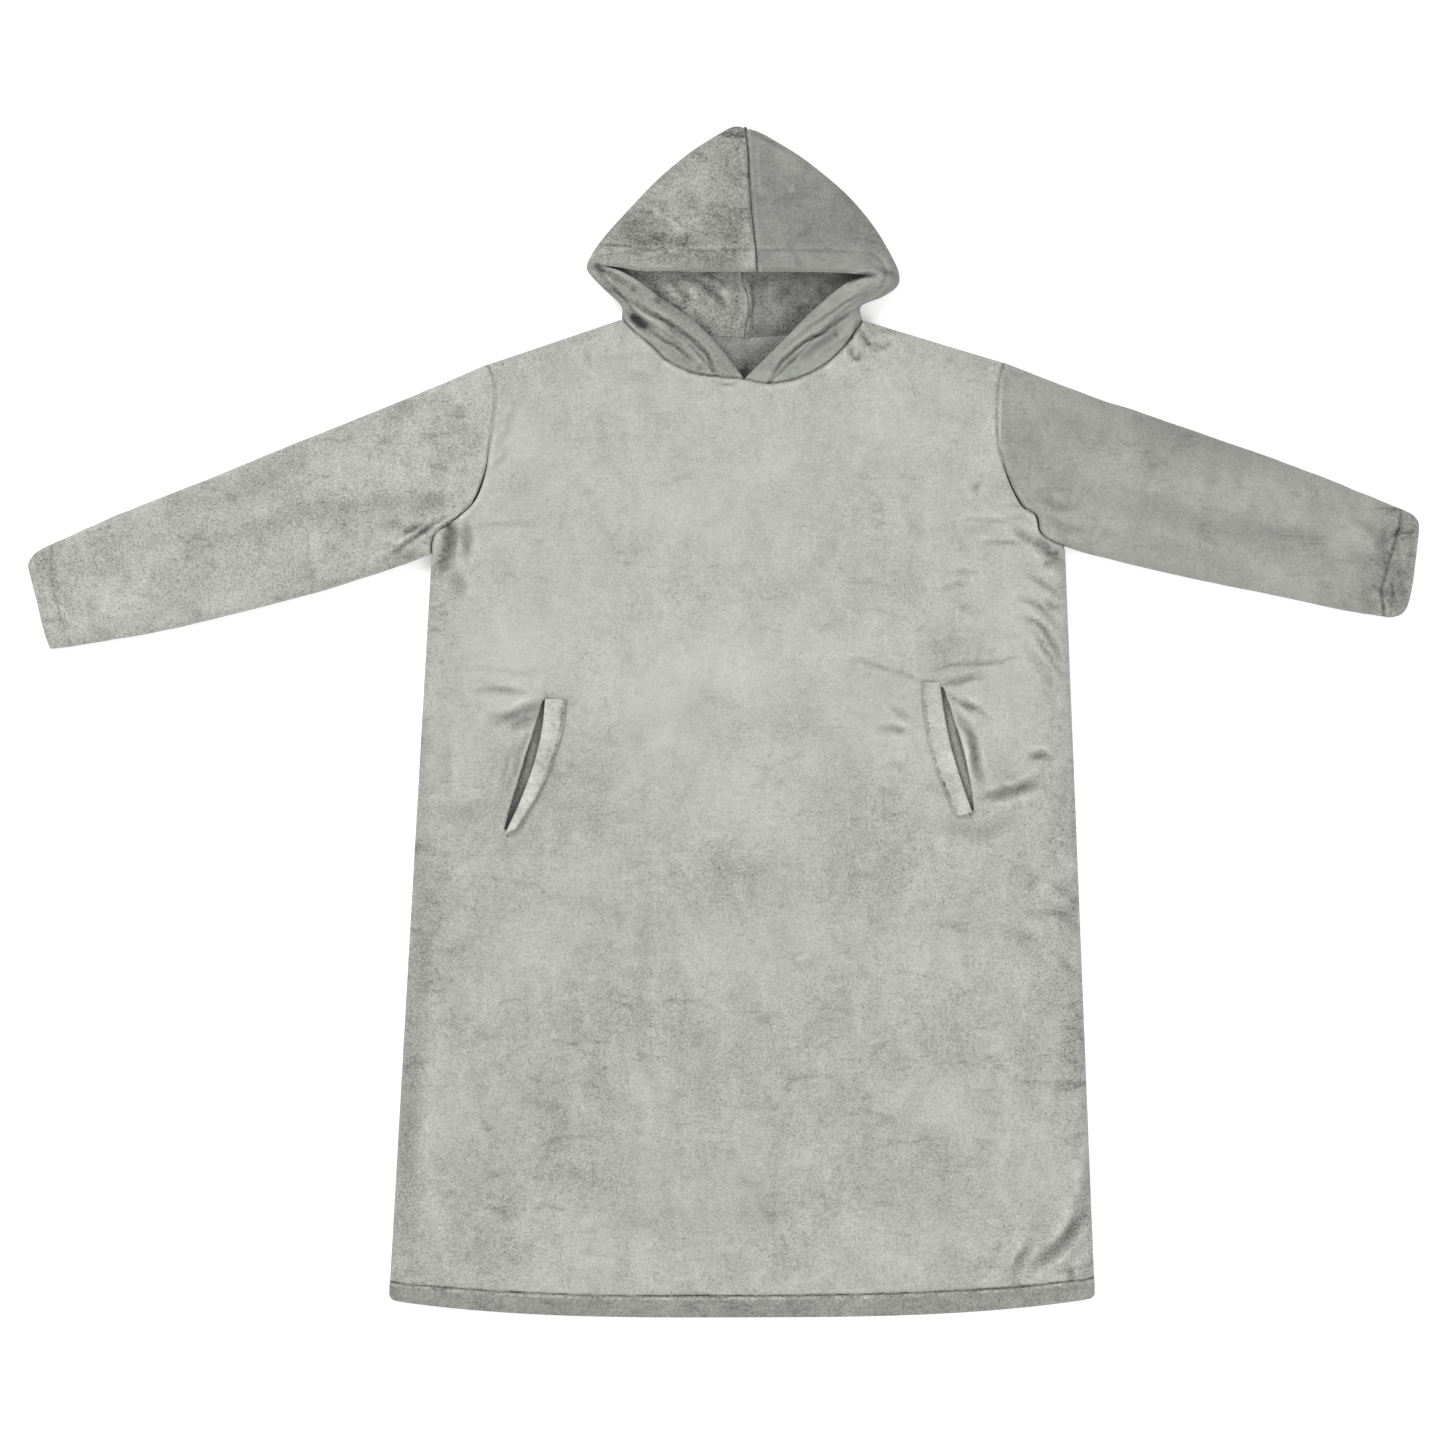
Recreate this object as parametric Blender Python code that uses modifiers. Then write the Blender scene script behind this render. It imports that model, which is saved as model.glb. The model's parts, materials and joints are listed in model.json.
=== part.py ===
"""Hooded pullover bathrobe of plush fleece, lying on its back with the sleeves spread.

The robe is an assembly of cut and sewn pieces.  Every piece is a closed solid in its own
object.  +X is the wearer's left, +Y points to the hood, +Z is up from the floor, and the
origin is on the floor under the middle of the laid-out robe.  The sleeves fold about a line
just outside each armhole, and the hood folds about a line just above the neck, so a sleeve
or the hood is two objects there: the part that stays with the body and the part that moves.
"""

import math

import bmesh
import bpy
from mathutils import Vector

MM = 0.001

# ---------------------------------------------------------------- driving dimensions, mm
CLOTH = 3.0  # one layer of plush
HEM_CLOTH = 4.0  # a turned hem, two layers pressed together
BODY_HEIGHT = 26.0  # front and back panel lying on each other, with the air between
HOOD_HEIGHT = 36.0
CUFF_HEIGHT = 19.0
SEAM_GAP = 1.6  # between two panels that are sewn together, filled by the seam's stitches
EDGE_CLEAR = 1.2  # from a layer's edge to the plane where front and back meet
FOLD_GAP = 1.5  # at a fold line, so that the moving part turns freely
LAYER_GAP = 0.4  # between stacked layers
OVERLOCK_RADIUS = 2.0  # a seam allowance rolled up by its overlock stitch

SEAM_INSET = 9.0  # from a sewn edge to the rolled allowance inside it
NECK_SEAM_DROP = 11.0  # how far the front of the neck seam's allowance hangs below the neckline
NECK_SEAM_BACK_DROP = 5.0
SIDE_SEAM_TRIMS = (25.0, 34.0)  # a side seam's allowance stops short of the hem and of the armpit
SHOULDER_SEAM_TRIMS = (30.0, 22.0)

HEM_DEPTH = 21.0
FACE_HEM_DEPTH = 20.0
WELT_THICKNESS = 3.0
BAG_THICKNESS = 2.0
BAG_SPACE = 6.0  # room for a hand between the two layers of a pocket bag

# How a layer curls down to the seam or fold at the garment's edge: inset from the edge, mm,
# and the share of half the garment's height that it has reached there.
EDGE_CURL = ((0.0, 0.0), (0.4, 0.25), (4.0, 0.6), (12.0, 0.87), (30.0, 1.0))
EDGE_INSETS = tuple(inset for inset, _ in EDGE_CURL)

# ---------------------------------------------------------------- outlines as laid, mm
SHOULDER_TIP = {"right": (-256, 397), "left": (309, 398)}
ARMPIT = {"right": (-321, 181), "left": (378, 193)}
HEM_CORNER = {"right": (-368, -638), "left": (410, -635)}
HEM_SAG = 20.5  # how far the hem bows down between its corners

NECK_SIDE = {"right": (-111, 445), "left": (156, 441)}
FRONT_NECKLINE = (
    (-88, 423), (-61, 397), (-22, 381), (24, 379), (50, 371), (75, 374), (99, 384), (131, 409),
)
BACK_NECKLINE = ((-88, 439), (-61, 434), (-22, 428), (24, 426), (50, 426), (75, 428), (99, 431), (131, 436))
FRONT_NECK_POINT = (24, 379)
BACK_NECK_POINT = (24, 426)

# Each station of a sleeve: its upper and its lower edge.  The first is the armhole, the
# second the fold line, the last the cuff.
SLEEVE_STATIONS = {
    "right": (
        ((-256, 397), (-321, 181)),
        ((-288, 384), (-353, 173)),
        ((-390, 341), (-452, 141)),
        ((-520, 288), (-560, 114)),
        ((-640, 240), (-660, 93)),
        ((-736, 200), (-715, 84)),
        ((-767, 178), (-744, 81)),
    ),
    "left": (
        ((309, 398), (378, 193)),
        ((340, 386), (409, 185)),
        ((450, 345), (500, 163)),
        ((570, 305), (600, 141)),
        ((680, 266), (690, 123)),
        ((737, 243), (724, 117)),
        ((767, 226), (753, 122)),
    ),
}

HOOD_FOLD_Y = 466.0
FACE_EDGE_Y = 498.0  # the edge of the face opening on the hood's crown
APEX = (25, 657)
CENTRE_SEAM_LOW = (38, 498)
PEAK_PULL = 0.5  # how far the hood's last row draws in towards the apex
BACK_SEAM_LOW = (26, 476)  # where the centre seam ends inside the hood's back, above the fold
SLEEVE_FOLD_HEIGHT = 30.0  # above the pocket welts, so that a folded sleeve clears them
HOOD_FOLD_HEIGHT = 37.0  # above the hood's own top

# The hood's outline from the fold line up to the apex.
HOOD_OUTLINE = {
    "right": ((-117, 466), (-142, 487), (-149, 498), (-148, 507), (-127, 540), (-95, 575), (-58, 610), (-11, 645)),
    "left": ((162, 466), (190, 478), (195, 487), (194, 498), (187, 513), (166, 548), (135, 584), (93, 619), (53, 645)),
}
FACE_COLUMN = -5  # in a hood row, the place of the face opening's side
FACE_EDGE_AT_FOLD = {"right": (-60, 466), "left": (117, 466)}

# Pocket slits: the lip that carries the welt, the far lip, and the welt's outer edge.
WELT_LIP = {
    "right": ((-195, 26), (-198, -2), (-206, -36), (-217, -68), (-229, -98), (-241, -122)),
    "left": ((238, 44), (241, 28), (246, -4), (254, -38), (265, -70), (276, -100)),
}
FAR_LIP = {
    "right": ((-199, 22), (-212, -4), (-225, -36), (-233, -61), (-241, -90), (-245, -119)),
    "left": ((242, 40), (258, 4), (267, -25), (273, -57), (278, -80), (280, -97)),
}
WELT_EDGE = {
    "right": ((-171, 25), (-175, 1), (-185, -29), (-196, -58), (-212, -84), (-226, -108), (-231, -120)),
    "left": ((220, 43), (222, 15), (229, -25), (237, -52), (247, -81), (258, -107)),
}
BAG_DEPTH = 70.0  # below the end of the slit
BAG_REACH = 118.0  # from the slit towards the centre front
BAG_CORNERS = (20.0, 30.0)  # how much the bag's inner corners are cut back, above and below
BAG_TOE = (10.0, 6.0, 16.0)  # the outer lower corner: inwards, outwards and up

FLEECE = (0.47, 0.475, 0.44)
FLEECE_INSIDE = (0.4, 0.405, 0.375)
THREAD = (0.55, 0.555, 0.52)


# ---------------------------------------------------------------- small geometry helpers
def mix(a, b, t):
    """The point, of any number of coordinates, at share t between a and b."""
    return tuple(p + (q - p) * t for p, q in zip(a, b, strict=True))


def distance_to_line(point, start, end):
    """Distance in the plane from a point to a straight piece of an outline."""
    p, a, b = (Vector(v[:2]) for v in (point, start, end))
    along = b - a
    share = max(0.0, min(1.0, (p - a).dot(along) / along.length_squared))
    return (p - a - along * share).length


def read_curve(points, x):
    """The height at x of a line through points sorted by x."""
    for start, end in zip(points, points[1:]):
        if x <= end[0]:
            break
    return start[1] + (end[1] - start[1]) * (x - start[0]) / (end[0] - start[0])


def read_path(points, share):
    """The point at a share of a path's length."""
    lengths = [math.dist(a, b) for a, b in zip(points, points[1:])]
    left = share * sum(lengths)
    for start, end, length in zip(points, points[1:], lengths):
        if left <= length:
            return mix(start, end, left / length)
        left -= length
    return points[-1]


def curl(inset):
    """Share of half the height that a layer has at this inset from the garment's edge."""
    return read_curve(EDGE_CURL, min(inset, EDGE_CURL[-1][0])) if inset > 0 else 0.0


def body_outline():
    """The straight pieces of the edge where front and back meet: sides and shoulders."""
    pieces = []
    for side in ("right", "left"):
        pieces.append((NECK_SIDE[side], SHOULDER_TIP[side]))
        pieces.append((ARMPIT[side], HEM_CORNER[side]))
        uppers, lowers = zip(*SLEEVE_STATIONS[side])
        pieces += list(zip(uppers, uppers[1:])) + list(zip(lowers, lowers[1:]))
    return pieces


BODY_OUTLINE = body_outline()


def layer_height(point, direction):
    """Outer height of the front (+1) or back (-1) layer of the body over a point."""
    inset = min(distance_to_line(point, a, b) for a, b in BODY_OUTLINE)
    half = BODY_HEIGHT / 2
    return half + direction * (EDGE_CLEAR + (half - EDGE_CLEAR) * curl(inset))


def side_point(side, height):
    """The point of a side edge at a height above the hem's corner."""
    corner, armpit = HEM_CORNER[side], ARMPIT[side]
    return mix(corner, armpit, height / (armpit[1] - corner[1]))


def hem_point(across, side_inset, height):
    """A point at a share across the robe, moved by side_inset, at a height above the hem's edge."""
    x, y = mix(side_point("right", height), side_point("left", height), across)
    width = HEM_CORNER["left"][0] - HEM_CORNER["right"][0]
    share = across + side_inset / width
    return (x + side_inset, y - HEM_SAG * (1 - (2 * share - 1) ** 2))


# ---------------------------------------------------------------- making objects
def clear_scene():
    for obj in list(bpy.data.objects):
        bpy.data.objects.remove(obj)


def new_collection(name):
    collection = bpy.data.collections.new(name)
    bpy.context.scene.collection.children.link(collection)
    return collection


def cloth_material(name, colour, roughness):
    material = bpy.data.materials.new(name)
    material.use_nodes = True
    shader = material.node_tree.nodes["Principled BSDF"]
    shader.inputs["Base Color"].default_value = (*colour, 1.0)
    shader.inputs["Roughness"].default_value = roughness
    shader.inputs["Metallic"].default_value = 0.0
    return material


def place(name, data, material):
    obj = bpy.data.objects.new(name, data)
    data.materials.append(material)
    ROBE.objects.link(obj)
    return obj


def thicken(obj, thickness):
    """Gives a cloth's outer surface its thickness, inwards."""
    solidify = obj.modifiers.new("thickness", "SOLIDIFY")
    solidify.thickness = thickness * MM
    solidify.offset = -1
    return obj


def cloth_between(name, rows, material, thickness=CLOTH, closed=False):
    """A cloth lofted through rows of points on its outer face, and given its thickness inwards."""
    count = len(rows[0])
    mesh = bmesh.new()
    grid = [[mesh.verts.new([c * MM for c in point]) for point in row] for row in rows]
    for lower, upper in zip(grid, grid[1:]):
        for i in range(count if closed else count - 1):
            j = (i + 1) % count
            mesh.faces.new((lower[i], lower[j], upper[j], upper[i]))
    mesh.normal_update()
    middle = Vector([sum(c) / len(mesh.verts) for c in zip(*(v.co for v in mesh.verts))])
    middle.z = middle_height(rows) * MM
    outwards = sum(f.normal.dot(f.calc_center_median() - middle) * f.calc_area() for f in mesh.faces)
    if outwards < 0:
        bmesh.ops.reverse_faces(mesh, faces=mesh.faces)
    data = bpy.data.meshes.new(name)
    mesh.to_mesh(data)
    mesh.free()
    data.shade_smooth()
    return thicken(place(name, data, material), thickness)


def middle_height(rows):
    """Height of the plane between the garment's two layers, where rows belong."""
    return (HOOD_HEIGHT if rows[0][0][1] >= HOOD_FOLD_Y else BODY_HEIGHT) / 2


def flat_piece(name, outline, bottom, thickness, material):
    """A flat cut piece: its outline, filled, with its underside at the height bottom."""
    data = bpy.data.curves.new(name, "CURVE")
    data.dimensions = "2D"
    data.fill_mode = "BOTH"
    data.extrude = thickness / 2 * MM
    spline = data.splines.new("POLY")
    spline.points.add(len(outline) - 1)
    for knot, (x, y) in zip(spline.points, outline):
        knot.co = (x * MM, y * MM, 0.0, 1.0)
    spline.use_cyclic_u = True
    obj = place(name, data, material)
    obj.location.z = (bottom + thickness / 2) * MM
    return obj


def overlocked_seam(name, path, radius=OVERLOCK_RADIUS, closed=False):
    """A seam allowance inside the robe, rolled into a cord by its overlock stitch."""
    data = bpy.data.curves.new(name, "CURVE")
    data.dimensions = "3D"
    data.bevel_depth = radius * MM
    data.bevel_resolution = 2
    data.use_fill_caps = not closed
    spline = data.splines.new("POLY")
    spline.points.add(len(path) - 1)
    for knot, point in zip(spline.points, path):
        knot.co = (*(c * MM for c in point), 1.0)
    spline.use_cyclic_u = closed
    return place(name, data, THREAD_MATERIAL)


def fold_axis(name, start, end, height, pieces):
    """An empty whose Y axis is a fold line, from start to end, with the moving pieces under it."""
    empty = bpy.data.objects.new(name, None)
    ROBE.objects.link(empty)
    along = Vector(end) - Vector(start)
    empty.location = (*(Vector(mix(start, end, 0.5)) * MM), height * MM)
    empty.rotation_euler.z = math.atan2(along.y, along.x) - math.pi / 2
    bpy.context.view_layer.update()
    for piece in pieces:
        piece.parent = empty
        piece.matrix_parent_inverse = empty.matrix_world.inverted()


def cutter_from(piece):
    """Turns a flat piece into a mesh cutter that isn't part of the robe."""
    bpy.context.view_layer.update()
    evaluated = piece.evaluated_get(bpy.context.evaluated_depsgraph_get())
    data = bpy.data.meshes.new_from_object(evaluated)
    mesh = bmesh.new()
    mesh.from_mesh(data)
    bmesh.ops.remove_doubles(mesh, verts=mesh.verts, dist=0.001 * MM)
    bmesh.ops.recalc_face_normals(mesh, faces=mesh.faces)
    mesh.to_mesh(data)
    mesh.free()
    cutter = bpy.data.objects.new(f"{piece.name}_cutter", data)
    cutter.matrix_world = piece.matrix_world
    CUTTERS.objects.link(cutter)
    cutter.hide_render = True
    cutter.display_type = "WIRE"
    bpy.data.objects.remove(piece)
    return cutter


# ---------------------------------------------------------------- front and back panels
def panel_columns(neckline):
    """Each column of a body panel as its points at the hem line, the armpits and the top."""
    right_tip, left_tip = SHOULDER_TIP["right"], SHOULDER_TIP["left"]
    top = (right_tip, NECK_SIDE["right"], *neckline, NECK_SIDE["left"], left_tip)
    armhole_insets = (0.0, 3.0, 7.0, 14.0, EDGE_INSETS[-1])
    columns = []

    def add(across, side_inset, top_x):
        hem = hem_point(across, side_inset, HEM_DEPTH + SEAM_GAP)
        armpit_x, armpit_y = mix(ARMPIT["right"], ARMPIT["left"], across)
        columns.append((hem, (armpit_x + side_inset, armpit_y), (top_x, read_curve(top, top_x))))

    for side_inset, top_inset in zip(EDGE_INSETS, armhole_insets):
        add(0.0, side_inset, right_tip[0] + top_inset)
    middle = (-204, -149, NECK_SIDE["right"][0], *(x for x, _ in neckline), NECK_SIDE["left"][0], 182, 245)
    for x in middle:
        add((x - right_tip[0]) / (left_tip[0] - right_tip[0]), 0.0, x)
    for side_inset, top_inset in zip(EDGE_INSETS[::-1], armhole_insets[::-1]):
        add(1.0, -side_inset, left_tip[0] - top_inset)
    return columns


def body_panel(name, neckline, direction):
    columns = panel_columns(neckline)
    rows = [[mix(hem, armpit, t) for hem, armpit, _ in columns] for t in (0, 0.25, 0.5, 0.75)]
    rows += [[mix(armpit, top, t) for _, armpit, top in columns] for t in (0, 0.3, 0.6)]
    for inset in EDGE_INSETS[::-1]:
        rows.append([mix(top, armpit, inset / math.dist(top, armpit)) for _, armpit, top in columns])
    rows = [[(x, y, layer_height((x, y), direction)) for x, y in row] for row in rows]
    return cloth_between(name, rows, FLEECE_MATERIAL)


def hem_band(name, direction):
    """The turned-up hem of one panel: a band of double cloth along the lower edge."""
    insets = EDGE_INSETS[1:]
    places = [(0.0, inset) for inset in insets]
    places += [(i / 8, 0.0) for i in range(1, 8)]
    places += [(1.0, -inset) for inset in insets[::-1]]
    rows = []
    for height in (0.0, HEM_DEPTH):
        points = [hem_point(across, inset, height) for across, inset in places]
        rows.append([(x, y, layer_height((x, y), direction)) for x, y in points])
    return cloth_between(name, rows, FLEECE_MATERIAL, thickness=HEM_CLOTH)


# ---------------------------------------------------------------- sleeves
def sleeve_ring(upper, lower, height):
    """One cross-section of a flattened sleeve, from its lower edge over the top and back."""
    width = math.dist(upper, lower)
    insets = EDGE_INSETS[1:] + (width / 2,)
    shares = [i / width for i in insets] + [1 - i / width for i in EDGE_INSETS[:0:-1]]
    rises = [curl(min(share, 1 - share) * width) for share in shares]
    half = height / 2
    front = [(*mix(lower, upper, s), half * (1 + r)) for s, r in zip(shares, rises)]
    back = [(*mix(lower, upper, s), half * (1 - r)) for s, r in zip(shares, rises)]
    return [(*lower, half), *front, (*upper, half), *back[::-1]]


def moved_along(station, neighbour, gap):
    """A station moved towards its neighbour by a gap."""
    return tuple(mix(p, q, gap / math.dist(p, q)) for p, q in zip(station, neighbour))


def sleeve_height(index):
    """The body's height up to the fold line, and then falling evenly to the cuff."""
    last = len(SLEEVE_STATIONS["right"]) - 1
    return BODY_HEIGHT + (CUFF_HEIGHT - BODY_HEIGHT) * max(0, index - 1) / (last - 1)


def sleeve(side):
    stations = SLEEVE_STATIONS[side]
    cuff_start = len(stations) - 2
    parts = (
        ("sleeve_cap", 0, 1, SEAM_GAP, FOLD_GAP / 2, CLOTH),
        ("sleeve", 1, cuff_start, FOLD_GAP / 2, SEAM_GAP / 2, CLOTH),
        ("cuff_hem", cuff_start, len(stations) - 1, SEAM_GAP / 2, 0.0, HEM_CLOTH),
    )
    pieces = []
    for label, first, last, start_gap, end_gap, thickness in parts:
        chosen = list(stations[first : last + 1])
        start = moved_along(chosen[0], chosen[1], start_gap)
        end = moved_along(chosen[-1], chosen[-2], end_gap)
        chosen[0], chosen[-1] = start, end
        rings = [sleeve_ring(*s, sleeve_height(first + i)) for i, s in enumerate(chosen)]
        pieces.append(cloth_between(f"{side}_{label}", rings, FLEECE_MATERIAL, thickness, closed=True))

    under = []
    for i, (upper, lower) in enumerate(stations[1:], 1):
        under.append((*mix(lower, upper, SEAM_INSET / math.dist(lower, upper)), sleeve_height(i) / 2))
    start = mix(under[0], under[1], 6 / math.dist(under[0], under[1]))
    pieces.append(overlocked_seam(f"{side}_underarm_seam", [start, *under[1:cuff_start]]))
    ends = stations[1] if side == "left" else stations[1][::-1]
    fold_axis(f"{side}_sleeve_fold", *ends, SLEEVE_FOLD_HEIGHT, pieces[1:])


def armhole_seam(side):
    """The overlocked armhole, a flattened ring just inside the body."""
    tip, pit = SHOULDER_TIP[side], ARMPIT[side]
    inwards = 1 if side == "right" else -1
    length = math.dist(tip, pit)
    front = []
    for inset, rise in ((24, 0.0), (32, 0.25), (48, 0.48)):
        front.append((inset / length, rise))
    shares = front + [(1 - s, r) for s, r in front[::-1]]
    half = BODY_HEIGHT / 2

    def at(share, rise):
        x, y = mix(tip, pit, share)
        return (x + inwards * SEAM_INSET, y, half * (1 + rise))

    loop = [at(s, r) for s, r in shares] + [at(s, -r) for s, r in shares[-2:0:-1]]
    overlocked_seam(f"{side}_armhole_seam", loop, closed=True)


# ---------------------------------------------------------------- hood
def centre_x(y):
    """The hood's centre seam leans a little to the wearer's left towards the face opening."""
    share = max(0.0, min(1.0, (APEX[1] - y) / (APEX[1] - CENTRE_SEAM_LOW[1])))
    return APEX[0] + (CENTRE_SEAM_LOW[0] - APEX[0]) * share


def hood_edge_x(side, y):
    points = sorted((py, px) for px, py in (*HOOD_OUTLINE[side], APEX))
    return read_curve(points, y)


def hood_curl(side, x, y):
    path = (*HOOD_OUTLINE[side], APEX)
    return curl(min(distance_to_line((x, y), a, b) for a, b in zip(path, path[1:])))


def hood_row(side, y):
    """A cross-section of half the hood: back centre, out to the edge, over to the front centre."""
    inwards = 1 if side == "right" else -1
    edge = hood_edge_x(side, y)
    centre = centre_x(y) - inwards * SEAM_GAP / 2
    span = abs(centre - edge)
    insets = [min(i, span * s) for i, s in zip(EDGE_INSETS[1:], (0.05, 0.2, 0.45, 0.7))]
    insets += [insets[-1] + (span - insets[-1]) * share for share in (0.25, 0.5, 0.75)]
    xs = [edge + inwards * i for i in insets] + [centre]
    half = HOOD_HEIGHT / 2
    back = [(x, y, half * (1 - hood_curl(side, x, y))) for x in xs]
    front = [(x, y, half * (1 + hood_curl(side, x, y))) for x in xs]
    return [*back[::-1], (edge, y, half), *front]


def hood_panel(side):
    """One half of the hood above the fold line; its face edge is a separate hem."""
    face = FACE_EDGE_Y + FACE_HEM_DEPTH + SEAM_GAP / 2
    low = [hood_row(side, y) for y in (HOOD_FOLD_Y + FOLD_GAP / 2, 480, FACE_EDGE_Y)]
    high = [hood_row(side, y) for y in (face, 540, 565, 590, 612, 630, 644, 652)]
    peak = [mix((x,), (APEX[0],), PEAK_PULL)[0] for x, _, _ in high[-1]]
    apex_row = [(x, APEX[1], HOOD_HEIGHT / 2) for x in peak]

    mesh = bmesh.new()
    rows = [*low, *high, apex_row]
    grid = [[mesh.verts.new([c * MM for c in point]) for point in row] for row in rows]
    for index, (lower, upper) in enumerate(zip(grid, grid[1:])):
        last = FACE_COLUMN if index < len(low) else -1
        for a, b, c, d in zip(lower[:last], lower[1:], upper[1:], upper):
            mesh.faces.new((a, b, c, d))
    bmesh.ops.remove_doubles(mesh, verts=grid[-1], dist=0.01 * MM)  # closes the top
    loose = [vertex for vertex in mesh.verts if not vertex.link_faces]
    bmesh.ops.delete(mesh, geom=loose, context="VERTS")
    bmesh.ops.recalc_face_normals(mesh, faces=mesh.faces)
    mesh.faces.ensure_lookup_table()
    if mesh.faces[0].normal.z > 0:  # the first face is on the back layer
        bmesh.ops.reverse_faces(mesh, faces=mesh.faces)
    data = bpy.data.meshes.new(f"hood_{side}_panel")
    mesh.to_mesh(data)
    mesh.free()
    data.shade_smooth()
    return thicken(place(f"hood_{side}_panel", data, FLEECE_MATERIAL), CLOTH)


def hood_face_hem():
    """The turned hem along the face opening's upper edge, from one side of the hood to the other."""
    rows = []
    for y in (FACE_EDGE_Y, FACE_EDGE_Y + FACE_HEM_DEPTH - SEAM_GAP / 2):
        right = hood_row("right", y)[FACE_COLUMN][0] + SEAM_GAP
        left = hood_row("left", y)[FACE_COLUMN][0] - SEAM_GAP
        xs = [right + (left - right) * i / 6 for i in range(7)]
        rows.append([(x, y, HOOD_HEIGHT) for x in xs])
    return cloth_between("hood_face_hem", rows, FLEECE_MATERIAL, thickness=HEM_CLOTH)


def collar_rows(side):
    """Half the hood's neck, from the fold line down to the neck seam, back centre first."""
    inwards = 1 if side == "right" else -1
    gap = inwards * SEAM_GAP / 2
    fold = hood_row(side, HOOD_FOLD_Y)
    half_count = len(fold) // 2
    back_line = [(x, y) for x, y in BACK_NECKLINE if inwards * (BACK_NECK_POINT[0] - x) >= 0]
    front_line = [(x, y) for x, y in FRONT_NECKLINE if inwards * (FRONT_NECK_POINT[0] - x) >= 0]
    if side == "right":
        back_line, front_line = back_line[::-1], front_line[::-1]
    back_path = [*back_line, NECK_SIDE[side]]
    front_path = [NECK_SIDE[side], *front_line[::-1]]
    reach = abs(fold[0][0] - fold[half_count][0])
    shares = [abs(p[0] - fold[0][0]) / reach for p in fold[: half_count + 1]]
    neck = [read_path(back_path, s) for s in shares]
    neck += [read_path(front_path, 1 - s) for s in shares[-2::-1]]
    low_half, high_half = BODY_HEIGHT / 2, HOOD_HEIGHT / 2
    face_x = FACE_EDGE_AT_FOLD[side][0]
    edge_x = fold[half_count][0]
    front_shares = [1 - s for s in shares[-2::-1]]
    fold_xy = [p[:2] for p in fold[: half_count + 1]]
    fold_xy += [(edge_x + (face_x - edge_x) * s, HOOD_FOLD_Y) for s in front_shares]
    rises = [0 if i == half_count else (p[2] / high_half - 1) for i, p in enumerate(fold)]
    rows = []
    for t in (0.0, 0.35, 0.7, 1.0):
        row = []
        half = high_half + (low_half - high_half) * t
        for a, b, rise in zip(fold_xy, neck, rises):
            x, y = mix(a, b, t)
            row.append((x - gap, y + SEAM_GAP * t - FOLD_GAP / 2 * (1 - t), half * (1 + rise)))
        rows.append(row)
    return rows


def collar(side):
    rows = collar_rows(side)
    return cloth_between(f"hood_{side}_collar", rows, FLEECE_MATERIAL)


def hood_centre_seam():
    """The overlocked seam between the hood's halves, from the face edge over the apex to the back."""
    low, high = CLOTH + OVERLOCK_RADIUS + 1, HOOD_HEIGHT - CLOTH - OVERLOCK_RADIUS - 1
    front = [(centre_x(y), y, high) for y in (522, 560, 600)]
    turn = [(centre_x(y), y, z) for y, z in ((622, 27), (634, 18), (622, 9))]
    back = [(centre_x(600), 600, low), (centre_x(540), 540, low), (*BACK_SEAM_LOW, low)]
    return overlocked_seam("hood_centre_seam", front + turn + back)


# ---------------------------------------------------------------- neck, sides and shoulders
def inset_path(start, end, inset, trim_start, trim_end, height):
    """A straight run parallel to an edge, moved to its inner side and shortened at both ends."""
    a, b = Vector(start), Vector(end)
    along = (b - a).normalized()
    across = Vector((-along.y, along.x)) * inset
    first, last = a + along * trim_start + across, b - along * trim_end + across
    return [(*first, height), (*last, height)]


def side_and_shoulder_seams():
    half = BODY_HEIGHT / 2
    for side, turn in (("right", 1), ("left", -1)):
        path = inset_path(HEM_CORNER[side], ARMPIT[side], -SEAM_INSET * turn, *SIDE_SEAM_TRIMS, half)
        overlocked_seam(f"{side}_side_seam", path)
        path = inset_path(SHOULDER_TIP[side], NECK_SIDE[side], -SEAM_INSET * turn, *SHOULDER_SEAM_TRIMS, half)
        overlocked_seam(f"{side}_shoulder_seam", path)


def neck_seam():
    """The overlocked neck seam: a ring that hangs inside the neckline, front and back."""
    half = BODY_HEIGHT / 2
    front = [(x, y - NECK_SEAM_DROP, half * 1.42) for x, y in FRONT_NECKLINE]
    back = [(x, y - NECK_SEAM_BACK_DROP, half * 0.5) for x, y in BACK_NECKLINE]
    (rx, ry), (lx, ly) = NECK_SIDE["right"], NECK_SIDE["left"]
    right, left = (rx + 3, ry - 16, half), (lx - 3, ly - 16, half)
    return overlocked_seam("neck_seam", [right, *front, left, *back[::-1]], closed=True)


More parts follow.
